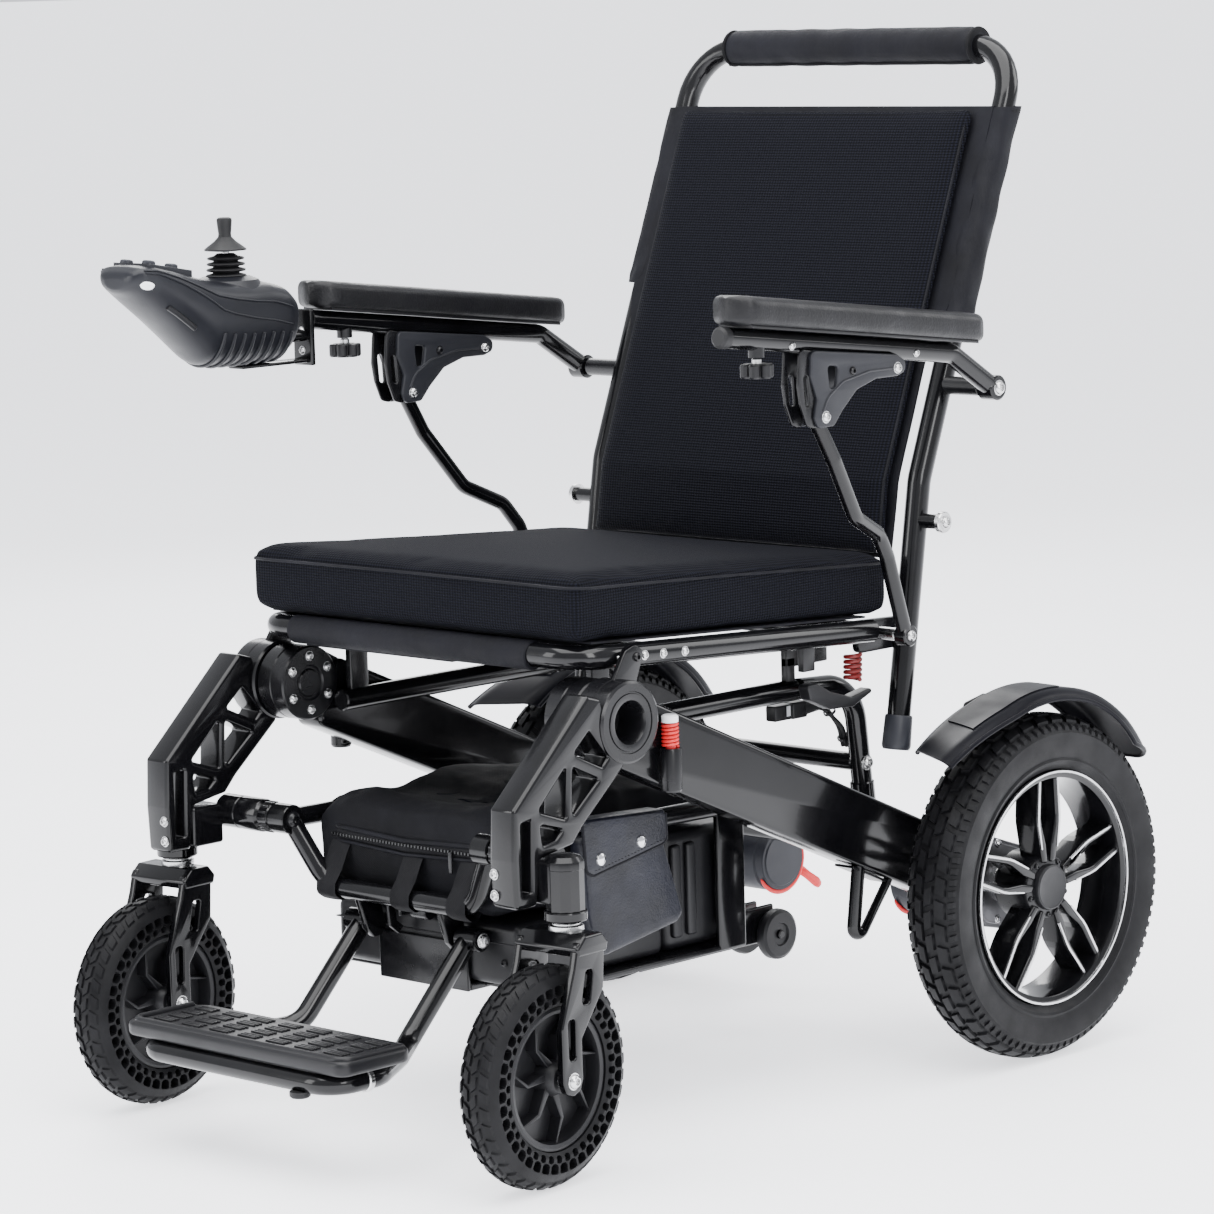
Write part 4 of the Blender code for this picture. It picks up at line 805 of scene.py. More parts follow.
def caster(side, word):
    stem = Vector((side * STEM_X, STEM_Y, 0))
    hub = Vector((stem.x, stem.y - TRAIL, CASTER_R))
    turn = Matrix.Translation(stem) @ Matrix.Rotation(CASTER_TURN, 4, "Z") @ Matrix.Translation(-stem)
    holes = ((CASTER_R - 0.0192, 0.0047, 0.0), (CASTER_R - 0.0276, 0.0031, 0.5))
    tyre = [tyre_body(hub, CASTER_R - 0.0018, 0.02, 0.0612, 400, holes, 40),
        tread_blocks(hub, CASTER_R, 0.02, ((0.0008, 0.007), (0.0086, 0.0152)), 40, 0.7, 0.0018, 0.34)]
    turned_by(tyre, turn)
    piece(join("caster_tread_" + word, tyre), "caster_wheel_" + word, "caster_tyre_" + word)
    parts = [lathe("ring", [(0.0604, 0.016), (0.0604, -0.016), (0.058, -0.0168), (0.0548, -0.016),
        (0.0535, -0.012), (0.0535, 0.012), (0.0548, 0.016), (0.058, 0.0168)], hub, PLASTIC, (1, 0, 0),
        72), lathe("hub", [(0, 0.0205), (0.0105, 0.0205), (0.012, 0.019), (0.015, 0.012), (0.016, 0.0),
        (0.015, -0.012), (0.012, -0.019), (0.0105, -0.0205), (0, -0.0205)], hub, PLASTIC, (1, 0, 0), 48),
        lathe("web", [(0.014, 0.0022), (0.054, 0.0022), (0.054, -0.0022), (0.014, -0.0022)], hub, PLASTIC,
        (1, 0, 0), 72)]
    for k in range(7):
        angle = 2 * pi * k / 7 + 0.2
        curve = []
        for width in (1, -1):
            points = [(0.0125, 0.013), (0.006, 0.034), (0.0026, 0.055)]
            points = [(t * 0.3 * width + 0.0085 * (1 - ((r - 0.034) / 0.021) ** 2), r) for t, r in points]
            curve += points if width > 0 else points[::-1]
        outline = [spoke_point(hub, angle, t, r) for t, r in curve]
        parts.append(plate("rib", outline, hub.x - 0.0138, hub.x + 0.0138, PLASTIC, 0.001))
    turned_by(parts, turn)
    piece(join("caster_rim_body_" + word, parts), "caster_wheel_" + word, "caster_rim_" + word)

    crown_y = stem.y - 0.007
    fork = [plate("crown", [(crown_y - 0.019, 0.196), (crown_y - 0.021, 0.203), (crown_y - 0.01, 0.213),
        (crown_y + 0.012, 0.213), (crown_y + 0.02, 0.204), (crown_y + 0.018, 0.196)], stem.x - 0.0345,
        stem.x + 0.0345, PAINT, 0.0025, 0.003), lathe("neck",
        [(0.015, 0.0), (0.015, 0.004), (0.012, 0.005), (0.012, 0.0058), (0, 0.0058), (0, 0)],
        (stem.x, stem.y, 0.2122), ZINC, (0, 0, 1), 40)]
    leg = [(stem.y + 0.0085, 0.208), (stem.y - 0.0255, 0.208), (stem.y - 0.0305, 0.188),
        (hub.y - 0.0125, 0.14), (hub.y - 0.0125, 0.094), (hub.y - 0.0088, 0.085), (hub.y, 0.0815),
        (hub.y + 0.0088, 0.085), (hub.y + 0.0125, 0.094), (hub.y + 0.0125, 0.128),
        (stem.y + 0.006, 0.166)]
    slots = [[(stem.y - 0.016, 0.184), (stem.y - 0.006, 0.184), (stem.y - 0.012, 0.156),
        (stem.y - 0.0225, 0.156)], [(hub.y - 0.005, 0.146), (hub.y + 0.005, 0.146),
        (hub.y + 0.0042, 0.112), (hub.y - 0.0042, 0.112)]]
    for edge in (-1, 1):
        x = stem.x + edge * 0.03
        fork.append(plate("leg", leg, x - 0.0036, x + 0.0036, PAINT, 0.0014, 0.004, slots,
            hole_corner=0.0032))
        fork.append(screw((x + edge * 0.004, hub.y, hub.z), (edge, 0, 0), 0.0062))
        fork.append(rod("axle", (stem.x + edge * 0.0215, hub.y, hub.z),
            (stem.x + edge * 0.027, hub.y, hub.z), 0.0085, ZINC))
    turned_by(fork, turn)
    piece(join("fork_body_" + word, fork), "fork_" + word + "_body", "fork_" + word)


# ---- front frame ------------------------------------------------------------------------------------
def lattice_arm(side, word):
    inner, outer = side * 0.2035, side * 0.2325
    outline = [(-0.2265, 0.3965), (-0.242, 0.401), (-0.333, 0.316), (-0.335, 0.274), (-0.333, 0.233),
        (-0.308, 0.233), (-0.302, 0.272), (-0.264, 0.278), (-0.251, 0.292), (-0.199, 0.336)]
    windows = [[(-0.24, 0.3705), (-0.259, 0.354), (-0.226, 0.339), (-0.219, 0.346)],
        [(-0.268, 0.3455), (-0.303, 0.312), (-0.271, 0.301)],
        [(-0.261, 0.343), (-0.23, 0.329), (-0.263, 0.302)],
        [(-0.324, 0.304), (-0.324, 0.245), (-0.3145, 0.245), (-0.312, 0.306)],
        [(-0.301, 0.3), (-0.275, 0.293), (-0.284, 0.285), (-0.299, 0.283)]]
    parts = [plate("truss", outline, inner, outer, PAINT, 0.0035, 0.004, windows, hole_corner=0.002)]
    parts.append(lathe("drum", [(0.017, 0.0128), (0.019, 0.0162), (0.0215, 0.0168), (0.0245, 0.0168),
        (0.025, 0.0158), (0.0262, 0.0158), (0.0267, 0.0168), (0.033, 0.0168), (0.0352, 0.0152),
        (0.0356, 0.013), (0.0356, 0.0005), (0.0348, 0.0), (0.0356, -0.0005), (0.0356, -0.0152),
        (0.034, -0.017), (0, -0.017), (0, -0.012), (0.0155, -0.012)], (side * 0.218, HINGE_Y, HINGE_Z),
        CAST, (side, 0, 0), 80))
    parts.append(plate("seat_lug", [(-0.206, 0.394), (-0.182, 0.43), (-0.1685, 0.4345), (-0.159, 0.427),
        (-0.176, 0.386)], side * 0.2142, side * 0.2198, PAINT, 0.0012, 0.006))
    parts.append(screw((side * 0.22, -0.1685, 0.4235), (side, 0, 0), 0.004, CAST))
    parts.append(plate("clamp", [(-0.3065, 0.2345), (-0.3065, 0.27), (-0.2715, 0.27), (-0.2715, 0.2345)],
        side * 0.201, side * 0.245, PAINT, 0.0022, 0.003))
    for z in (0.2435, 0.2615):
        parts.append(screw((side * 0.2085, -0.3348, z), (0, -1, 0), 0.004))
    housing = [(0, 0.0575), (0.0085, 0.0575), (0.0135, 0.056), (0.0168, 0.052), (0.0172, 0.05),
        (0.0172, 0.0455), (0.0168, 0.045), (0.0168, 0.003), (0.016, 0.001), (0.014, 0.0002), (0, 0.0002)]
    parts.append(lathe("housing", housing, (side * STEM_X, STEM_Y, 0.2186), PAINT, (0, 0, 1), 12, 25))
    parts.append(lathe("collar", [(0, 0.004), (0.0178, 0.004), (0.0184, 0.003), (0.0184, -0.003),
        (0.0178, -0.004), (0, -0.004)], (side * STEM_X, STEM_Y, 0.2245), PAINT, (0, 0, 1), 48))
    parts.append(lathe("stub", [(0, 0.0), (0.008, 0.0), (0.0088, 0.001), (0.012, 0.001), (0.0132, 0.002),
        (0.0132, 0.012), (0.012, 0.0135), (0.0145, 0.0155), (0.015, 0.017), (0.015, 0.042),
        (0.0142, 0.043), (0.015, 0.044), (0.015, 0.067), (0, 0.067)], (side * 0.1392, STUB_Y, STUB_Z),
        PAINT, (side, 0, 0), 40))
    for k in range(14):
        a = 2 * pi * k / 14
        parts.append(block("knurl", (side * 0.146 - 0.0052, STUB_Y + 0.0129 * cos(a) - 0.0011,
            STUB_Z + 0.0129 * sin(a) - 0.0011), (side * 0.146 + 0.0052, STUB_Y + 0.0129 * cos(a) + 0.0011,
            STUB_Z + 0.0129 * sin(a) + 0.0011), CAST, 0.0004, 1))
    piece(join("lattice_body_" + word, parts), "front_frame", "lattice_arm_" + word)


# ---- tray and footrest ------------------------------------------------------------------------------
def tray():
    x = 0.127
    parts = [tube("rails", [(x, STUB_Y, STUB_Z), (x, 0.046, 0.256), (-x, 0.046, 0.256),
        (-x, STUB_Y, STUB_Z)], 0.0088, PAINT, 0.03), tube("hoop",
        [(x, STUB_Y + 0.004, STUB_Z), (0.092, STUB_Y + 0.016, 0.203), (-0.092, STUB_Y + 0.016, 0.203),
        (-x, STUB_Y + 0.004, STUB_Z)], 0.0088, PAINT, 0.035)]
    for side in (1, -1):
        parts.append(lathe("ear", [(0.005, 0.0102), (0.0125, 0.0102), (0.0134, 0.0094), (0.0134, -0.0094),
            (0.0125, -0.0102), (0.005, -0.0102)], (side * 0.1282, STUB_Y, STUB_Z), PAINT, (1, 0, 0), 40))
        parts.append(screw((side * 0.1178, STUB_Y, STUB_Z), (-side, 0, 0), 0.007, CAST))
        parts.append(plate("lug", [(-0.238, 0.207), (-0.254, 0.207), (-0.241, 0.168), (-0.234, 0.16),
            (-0.224, 0.16), (-0.2185, 0.168), (-0.224, 0.19)], side * 0.0482, side * 0.0548, PAINT,
            0.0012, 0.003))
        parts.append(rod("pin", (side * 0.05, STEP_Y, STEP_Z), (side * 0.0848, STEP_Y, STEP_Z), 0.0045,
            ZINC))
        parts.append(screw((side * 0.085, STEP_Y, STEP_Z), (side, 0, 0), 0.0058))
        parts.append(block("slab", (side * 0.124 - 0.0031, 0.0262, 0.124),
            (side * 0.124 + 0.0031, 0.0618, 0.256), PAINT, 0.0022))
        parts.append(block("boom", (side * 0.0104 - 0.0024, 0.0402, 0.087),
            (side * 0.0104 + 0.0024, 0.2255, 0.122), PAINT, 0.0025))
    parts.append(block("floor", (-0.1268, -0.1998, 0.1236), (0.1268, 0.0618, 0.1294), CAST, 0.002))
    parts.append(block("nose", (-0.0558, -0.2178, 0.1216), (0.0558, -0.1902, 0.129), CAST, 0.002))
    parts.append(block("front", (-0.0558, -0.2213, 0.1216), (0.0558, -0.2176, 0.1648), CAST, 0.0012))
    parts.append(rod("roller_pin", (-0.0275, 0.22, 0.0945), (0.0275, 0.22, 0.0945), 0.0042, CAST))
    parts.append(lathe("latch", [(0, 0.01), (0.0068, 0.01), (0.0076, 0.009), (0.0076, -0.009),
        (0.0068, -0.01), (0, -0.01)], (0.01, -0.229, 0.19), CAST, (1, 0, 0), 32))
    parts.append(block("latch_arm", (-0.002, -0.248, 0.187), (0.002, -0.224, 0.202), CAST, 0.0012))
    parts.append(plate("hook", [(-0.236, 0.2), (-0.242, 0.196), (-0.24, 0.174), (-0.23, 0.166),
        (-0.224, 0.172), (-0.232, 0.178), (-0.234, 0.196)], -0.024, -0.02, CAST, 0.0008))
    piece(join("tray_body", parts), "tray", "tray_frame")

    wrap = [(-0.235, 0.244), (-0.241, 0.234), (-0.248, 0.22), (-0.2568, 0.2085), (-0.2572, 0.1985),
        (-0.249, 0.1925), (-0.241, 0.1935), (-0.236, 0.199)]
    straps = [band("strap", rounded([(x, y, z) for y, z in wrap], 0.006, 3), 0.024, 0.0016, WEBBING)
        for x in (-0.084, 0.01, 0.08)]
    for side in (1, -1):
        straps.append(band("side_strap", rounded([(side * 0.105, -0.19, 0.276),
            (side * 0.123, -0.19, 0.274), (side * 0.1375, -0.19, 0.266), (side * 0.137, -0.19, 0.252),
            (side * 0.124, -0.19, 0.245), (side * 0.115, -0.19, 0.25)], 0.006, 3), 0.024, 0.0016, WEBBING,
            (0, 1, 0)))
    piece(join("bag_straps", straps), "tray")


def battery():
    core = block("core", (-0.1138, -0.0298, 0.1302), (0.1138, 0.0738, 0.2376), PLASTIC, 0.01, 5)
    parts = [core]
    for side in (1, -1):
        for y in (-0.018, 0.001, 0.048):
            parts.append(block("rib", (side * 0.115 - 0.0038, y - 0.006, 0.143),
                (side * 0.115 + 0.0038, y + 0.006, 0.227), PLASTIC, 0.003, 4))
    for x in (-0.085, -0.055, 0.055, 0.085):
        parts.append(block("back_rib", (x - 0.006, 0.0715, 0.145), (x + 0.006, 0.0755, 0.222), PLASTIC,
            0.0018))
    parts.append(tube("handle", [(-0.035, 0.07, 0.205), (-0.035, 0.094, 0.205), (0.035, 0.094, 0.205),
        (0.035, 0.07, 0.205)], 0.0046, SOFT_RUBBER, 0.01))
    parts.append(lathe("socket", [(0, 0.004), (0.006, 0.004), (0.0075, 0.0025), (0.011, 0.0025),
        (0.012, 0.0), (0.012, -0.003), (0, -0.003)], (0, 0.074, 0.165), CAST, (0, 1, 0), 40))
    piece(join("battery_case", parts), "battery", "battery_pack")


def control_box():
    low, high = (-0.1148, -0.2168, 0.1302), (0.1148, -0.0332, 0.1858)
    parts = [block("case", low, high, PLASTIC, 0.008, 4),
        block("lid_line", (-0.1154, -0.2175, 0.168), (0.1154, -0.033, 0.1694), PLASTIC, 0.0005, 1)]
    for side in (1, -1):
        parts.append(screw((side * 0.098, -0.218, 0.152), (0, -1, 0), 0.003, CAST))
    piece(join("control_case", parts), "tray", "control_box")


def bag_point(y, angle):
    """A point of the bag's soft skin, round its section at y."""
    end = min(1.0, 0.72 + 0.28 * min(1.0, (y + 0.2365) / 0.03) ** 0.5)
    low = 0.188 + 0.054 * min(1.0, max(0.0, (y + 0.07) / 0.032))
    cx, cz = cos(angle), sin(angle)
    px = 0.112 * abs(cx) ** 0.3 * (1 if cx > 0 else -1) * (0.95 + 0.05 * end)
    top = 0.284 - 0.01 * cos(px * 24) * max(0.0, 1 - abs(y + 0.13) / 0.1) - 0.004 * sin(y * 40 + 1.0)
    middle, tall = (low + top) / 2, (top - low) / 2
    pz = middle + tall * abs(cz) ** 0.36 * (1 if cz > 0 else -1) * end
    place = Vector((px, y, pz))
    fold = 0.0042 * noise.noise(place * 17) + 0.0026 * noise.noise(Vector((px * 60, y * 22, pz * 30)))
    fold -= 0.003 * abs(noise.noise(Vector((px * 16 + y * 20, y * 9, 4.0)))) ** 0.6
    return place + Vector((fold * cx, -0.4 * fold * (1 - end), fold * cz))


def storage_bag():
    """A soft bag that bulges at its sides and sags between its straps."""
    bm = bmesh.new()
    rows, around = 64, 96
    sections = [[bm.verts.new(bag_point(-0.236 + 0.26 * i / rows, 2 * pi * k / around))
        for k in range(around)] for i in range(rows + 1)]
    loft(bm, sections)
    shell = made_object("shell", bm, BAG_CLOTH, 60)
    front = [(0.106, -0.09, 0.27), (0.1095, -0.2, 0.262), (0.098, -0.236, 0.256), (0, -0.2385, 0.252),
        (-0.098, -0.236, 0.256), (-0.1095, -0.2, 0.262), (-0.106, -0.09, 0.27)]
    parts = [shell]
    for drop, size, look in ((0.0, 0.0022, NYLON), (0.012, 0.0016, NYLON)):
        parts.append(sweep("piping", rounded([(x, y, z - drop) for x, y, z in front], 0.025, 8), size,
            look, 10))
    parts.append(band("zip_tape", rounded([(x, y, z - 0.006) for x, y, z in front], 0.025, 8), 0.008,
        0.0018, WEBBING, (0, 0, 1)))
    for k in range(48):
        share = k / 47
        x = 0.095 - 0.19 * share
        y = -0.2368 - 0.0026 * (1 - abs(2 * share - 1))
        parts.append(block("tooth", (x - 0.0011, y - 0.0012, 0.2472), (x + 0.0011, y + 0.0006, 0.25),
            CAST, 0.0003, 1))
    parts.append(block("pull", (0.056, -0.241, 0.23), (0.0605, -0.2388, 0.249), CAST, 0.0008))
    window = [(-0.05, -0.15), (0.045, -0.165), (0.06, -0.095), (-0.04, -0.085)]
    bm = bmesh.new()
    grid = {}
    for i in range(15):
        for j in range(15):
            u, v = i / 14, j / 14
            (x0, y0), (x1, y1), (x2, y2), (x3, y3) = window
            x = (x0 * (1 - u) + x1 * u) * (1 - v) + (x3 * (1 - u) + x2 * u) * v
            y = (y0 * (1 - u) + y1 * u) * (1 - v) + (y3 * (1 - u) + y2 * u) * v
            angle = pi / 2 - (x / 0.112) * abs(x / 0.112) ** 2.3
            place = bag_point(y, angle)
            grid[i, j] = bm.verts.new((place.x, place.y, place.z + 0.001))
    for i in range(14):
        for j in range(14):
            bm.faces.new((grid[i, j], grid[i + 1, j], grid[i + 1, j + 1], grid[i, j + 1]))
    extrude = bmesh.ops.extrude_face_region(bm, geom=bm.faces[:])
    bmesh.ops.translate(bm, vec=(0, 0, -0.0014), verts=[v for v in extrude["geom"]
        if isinstance(v, bmesh.types.BMVert)])
    parts.append(made_object("window", bm, MESH, 60))
    piece(join("storage_bag_shell", parts), "tray", "storage_bag")


def side_pouch():
    """The leatherette pocket on the left rail: a body that swells, a stitched flap and two snaps."""
    body_outline = [(-0.179, 0.266), (-0.08, 0.264), (-0.0745, 0.242), (-0.052, 0.176), (-0.06, 0.169),
        (-0.15, 0.1545), (-0.164, 0.159), (-0.172, 0.19)]
    body = plate("body", body_outline, 0.1392, 0.159, POUCH_SKIN, 0.006, 0.01)
    flap = plate("flap", [(-0.181, 0.277), (-0.0765, 0.272), (-0.0755, 0.244), (-0.169, 0.228),
        (-0.178, 0.233)], 0.1585, 0.162, POUCH_SKIN, 0.0014, 0.008)
    top = plate("top", [(-0.181, 0.268), (-0.181, 0.278), (-0.0765, 0.273), (-0.0765, 0.262)], 0.139,
        0.1616, POUCH_SKIN, 0.003, 0.003)
    edge = [(0.1612, -0.1805, 0.274), (0.1612, -0.1776, 0.2325), (0.1612, -0.1692, 0.2282),
        (0.1612, -0.0758, 0.2442), (0.1612, -0.0768, 0.27)]
    piping = sweep("piping", rounded(edge, 0.007, 5), 0.0014, NYLON, 8)
    snaps = []
    for y, z in ((-0.16, 0.2415), (-0.109, 0.2495)):
        snaps.append(lathe("snap", [(0, 0.0032), (0.003, 0.003), (0.0052, 0.0016), (0.0058, 0.0),
            (0, 0.0)], (0.1618, y, z), CHROME, (1, 0, 0), 28))
    stitches = []
    for k in range(22):
        y = -0.166 + 0.086 * k / 21
        z = 0.2325 + (y + 0.166) * 0.171
        stitches.append(block("stitch", (0.1616, y - 0.0011, z - 0.0003),
            (0.1624, y + 0.0011, z + 0.0003), NYLON, 0.0002, 1))
    piece(join("side_pouch_shell", [body, flap, top, piping, *snaps, *stitches]), "tray", "side_pouch")


def trolley_roller():
    parts = []
    for edge in (-1, 1):
        parts.append(lathe("wheel", [(0.0046, 0.004), (0.01, 0.004), (0.011, 0.0058), (0.0205, 0.0058),
            (0.0235, 0.004), (0.024, 0.001), (0.024, -0.003), (0.0225, -0.0056), (0.013, -0.0056),
            (0.012, -0.007), (0.0046, -0.007)], (edge * 0.0205, 0.22, 0.0945), PLASTIC, (edge, 0, 0), 56))
    parts.append(lathe("core", [(0.0046, 0.0072), (0.012, 0.0072), (0.012, -0.0072), (0.0046, -0.0072)],
        (0, 0.22, 0.0945), PLASTIC, (1, 0, 0), 40))
    piece(join("roller_pair", parts), "roller", "trolley_roller")


def footrest():
    parts = []
    loop = [(0.067, STEP_Y, STEP_Z), (0.067, -0.308, 0.0925), (0.085, -0.334, 0.089),
        (0.12, -0.39, 0.089), (0.12, -0.443, 0.089), (-0.12, -0.443, 0.089), (-0.12, -0.39, 0.089),
        (-0.085, -0.334, 0.089), (-0.067, -0.308, 0.0925), (-0.067, STEP_Y, STEP_Z)]
    parts.append(tube("loop", loop, 0.0092, PAINT, 0.03, 8, 24))
    for x in (0.07, -0.07):
        parts.append(lathe("eye", [(0.0049, 0.0128), (0.0092, 0.0128), (0.0103, 0.0118),
            (0.0103, -0.0118), (0.0092, -0.0128), (0.0049, -0.0128)], (x, STEP_Y, STEP_Z), PAINT,
            (1, 0, 0), 40))
    parts.append(lathe("bumper", [(0, 0.0025), (0.0075, 0.0025), (0.009, 0.001), (0.009, -0.003),
        (0, -0.003)], (0.085, -0.448, 0.079), SOFT_RUBBER, (0, 0, -1), 32))
    parts.append(lathe("collar", [(0.0095, 0.003), (0.0108, 0.0022), (0.0108, -0.0022), (0.0095, -0.003)],
        (0.1195, -0.406, 0.089), ZINC, (0, 1, 0), 32))
    piece(join("footrest_tubes", parts), "footrest", "footrest_frame")

    half, low, top = 0.139, 0.0993, 0.1126
    outline = [(-half, -0.4495), (half, -0.4495), (half, -0.372), (half - 0.016, -0.3622),
        (-half + 0.016, -0.3622), (-half, -0.372)]
    flat = Matrix.Translation((0, 0, (low + top) / 2))
    base = plate("base", outline, low, top, PLASTIC, 0.0042, 0.012, upright=flat)
    rim_path = [(x, y, top - 0.0002) for x, y in ((half - 0.006, -0.374), (half - 0.006, -0.443),
        (-half + 0.006, -0.443), (-half + 0.006, -0.374))]
    parts = [base, tube("rim", rim_path, 0.0036, PLASTIC, 0.012, sides=16)]
    for column in range(7):
        x = -0.108 + 0.036 * column
        for row in range(4):
            y = -0.426 + 0.0155 * row
            for shift in (-0.0062, 0.0, 0.0062):
                parts.append(block("rib", (x - 0.0115, y + shift * 0.62 - 0.0013, top - 0.001),
                    (x + 0.0115, y + shift * 0.62 + 0.0013, top + 0.0016), PLASTIC, 0.0009, 2))
    piece(join("footplate_body", parts), "footrest", "footplate")


# ---- seat -------------------------------------------------------------------------------------------
def seat_frame():
    front, rear = -0.216, 0.158
    r = 0.0105
    parts = [tube("hoop", [(0.2, rear, seat_z(rear)), (0.2, front, seat_z(front)),
        (-0.2, front, seat_z(front)), (-0.2, rear, seat_z(rear))], r, PAINT, 0.035, 10, 28)]
    for y in (-0.15, 0.142):
        parts.append(rod("crossing", (-0.198, y, seat_z(y)), (0.198, y, seat_z(y)), 0.0093, PAINT))
    for side in (1, -1):
        x = side * 0.152
        parts.append(rod("rail", (x, -0.168, 0.354), (x, 0.106, 0.354), 0.0098, PAINT))
        for low, high in (((-0.158, 0.3545), (-0.136, 0.42)), ((0.092, 0.3545), (0.104, 0.385)),
                ((0.092, 0.3755), (0.148, 0.3955))):
            parts.append(block("web", (x - 0.0038, low[0], low[1]), (x + 0.0038, high[0], high[1]), CAST,
                0.0015))
        parts.append(plate("hinge", [(0.15, 0.384), (0.208, 0.384), (0.221, 0.398), (0.208, 0.4115),
            (0.15, 0.414)], side * 0.1832, side * 0.1916, CAST, 0.0012, 0.006))
        parts.append(block("latch", (side * 0.192 - 0.0038, 0.0702, 0.3775),
            (side * 0.192 + 0.0038, 0.0858, 0.405), CAST, 0.0012))
        parts.append(rod("shank", (side * 0.185, 0.1735, 0.401), (side * 0.2178, 0.1735, 0.401), 0.0058,
            ZINC))
        for y in (-0.1485, -0.1255, -0.0985):
            parts.append(screw((side * 0.2106, y, seat_z(y)), (side, 0, 0), 0.0036))
        parts.append(lathe("boss", [(0, 0.003), (0.008, 0.003), (0.009, 0.002), (0.009, -0.004),
            (0, -0.004)], (side * 0.213, -0.1685, 0.4235), CAST, (side, 0, 0), 32))
        parts.append(block("hook", (side * 0.2106 - 0.001, -0.183, 0.4225),
            (side * 0.2106 + 0.0012, -0.176, 0.4252), ZINC, 0.0006, 1))
    piece(join("seat_tubes", parts), "seat", "seat_frame")

    front, rear, half = -0.203, 0.15, 0.2
    bm = bmesh.new()
    grid = []
    for layer in (0.0026, 0.0008):
        rows = []
        for i in range(25):
            y = front + (rear - front) * i / 24
            row = []
            for j in range(25):
                x = -half + 2 * half * j / 24
                row.append(bm.verts.new((x, y, seat_z(y) + 0.0111 + layer)))
            rows.append(row)
        grid.append(rows)
    top, bottom = grid
    for i in range(24):
        for j in range(24):
            bm.faces.new((top[i][j], top[i][j + 1], top[i + 1][j + 1], top[i + 1][j]))
            bm.faces.new((bottom[i][j], bottom[i + 1][j], bottom[i + 1][j + 1], bottom[i][j + 1]))
    for i in range(24):
        for j in (0, 24):
            bm.faces.new((top[i][j], top[i + 1][j], bottom[i + 1][j], bottom[i][j]))
            bm.faces.new((top[j][i], top[j][i + 1], bottom[j][i + 1], bottom[j][i]))
    pan = made_object("seat_base_cloth", bm, NYLON, 60)
    piece(pan, "seat", "seat_pan")
    hem = [tube("wrap", [(x, -0.216, seat_z(-0.216) - 0.0008) for x in (-0.155, 0.145)], 0.0128, NYLON,
        sides=24), block("fold", (-0.148, -0.212, seat_z(-0.21) - 0.0158),
        (0.04, -0.203, seat_z(-0.21) - 0.011), NYLON, 0.0016)]
    piece(join("front_wrap", hem), "seat")


def puffed(made, pressure, cap, voxel, seconds=20):
    """Inflates a closed form with the cloth solver, and keeps every point within cap of its start."""
    remesh = made.modifiers.new("remesh", "REMESH")
    remesh.mode = "VOXEL"
    remesh.voxel_size = voxel
    settle(made)
    start = points_of(made.data)
    cloth = made.modifiers.new("cloth", "CLOTH")
    cloth.settings.quality = 5
    cloth.settings.mass = 0.3
    cloth.settings.tension_stiffness = 14
    cloth.settings.compression_stiffness = 14
    cloth.settings.shear_stiffness = 6
    cloth.settings.bending_stiffness = 0.8
    cloth.settings.use_pressure = True
    cloth.settings.uniform_pressure_force = pressure
    cloth.settings.effector_weights.gravity = 0
    cloth.point_cache.frame_start = 1
    cloth.point_cache.frame_end = seconds
    for number in range(1, seconds + 1):
        bpy.context.scene.frame_set(number)
    graph = bpy.context.evaluated_depsgraph_get()
    result = made.evaluated_get(graph).to_mesh()
    end = points_of(result)
    made.modifiers.clear()
    bpy.context.scene.frame_set(1)
    shift = end - start
    length = np.linalg.norm(shift, axis=1, keepdims=True)
    shift *= np.minimum(1, cap / np.maximum(length, 1e-9))
    move_points(made.data, start + shift)
    smooth = made.modifiers.new("even", "SMOOTH")
    smooth.factor, smooth.iterations = 0.5, 3
    subdivide = made.modifiers.new("fine", "SUBSURF")
    subdivide.levels = subdivide.render_levels = 1
    settle(made)
    made.data.shade_smooth()
    return made


def fit(made, low, high):
    """Scales a form so that its box is the given one."""
    co = points_of(made.data)
    old_low, old_high = co.min(0), co.max(0)
    co = np.array(low) + (co - old_low) / (old_high - old_low) * (np.array(high) - np.array(low))
    move_points(made.data, co)


def slab(name, half_x, half_y, tall, look, bevel=0.01):
    bm = bmesh.new()
    bmesh.ops.create_cube(bm, size=1, matrix=Matrix.Diagonal((2 * half_x, 2 * half_y, tall, 1)))
    bmesh.ops.bevel(bm, geom=bm.edges[:], offset=bevel, segments=3, affect="EDGES", profile=0.6)
    return made_object(name, bm, look, 80)


def seat_cushion():
    front, rear, half = -0.224, 0.18, 0.203
    tall = 0.056
    made = slab("seat_pad", half - 0.006, (rear - front) / 2 - 0.006, tall - 0.012, MESH, 0.006)
    made = puffed(made, 4.0, 0.0065, 0.005)
    fit(made, (-half, -(rear - front) / 2, -tall / 2), (half, (rear - front) / 2, tall / 2))
    co = points_of(made.data)
    bottom = co[:, 2] < 0
    co[bottom, 2] = np.maximum(co[bottom, 2], -tall / 2 + 0.004)
    co[:, 2] = np.where(bottom, co[:, 2] - 0.004, co[:, 2])
    y = co[:, 1] + (front + rear) / 2
    lean = cushion_floor(y) + tall / 2
    crown = np.where(co[:, 2] > 0, 1.0, 0.0)
    co[:, 2] += lean + crown * 0.004 * (1 - (y - front) / (rear - front))
    co[:, 1] = y
    move_points(made.data, co)
    line = sweep("seam", seam_ring(made, 0.01, tall), 0.0013, NYLON, 8)
    piece(made, "seat", "seat_cushion")
    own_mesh(made)
    seams = join("seat_pad_seam", [line])
    piece(seams, "seat")
    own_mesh(seams)


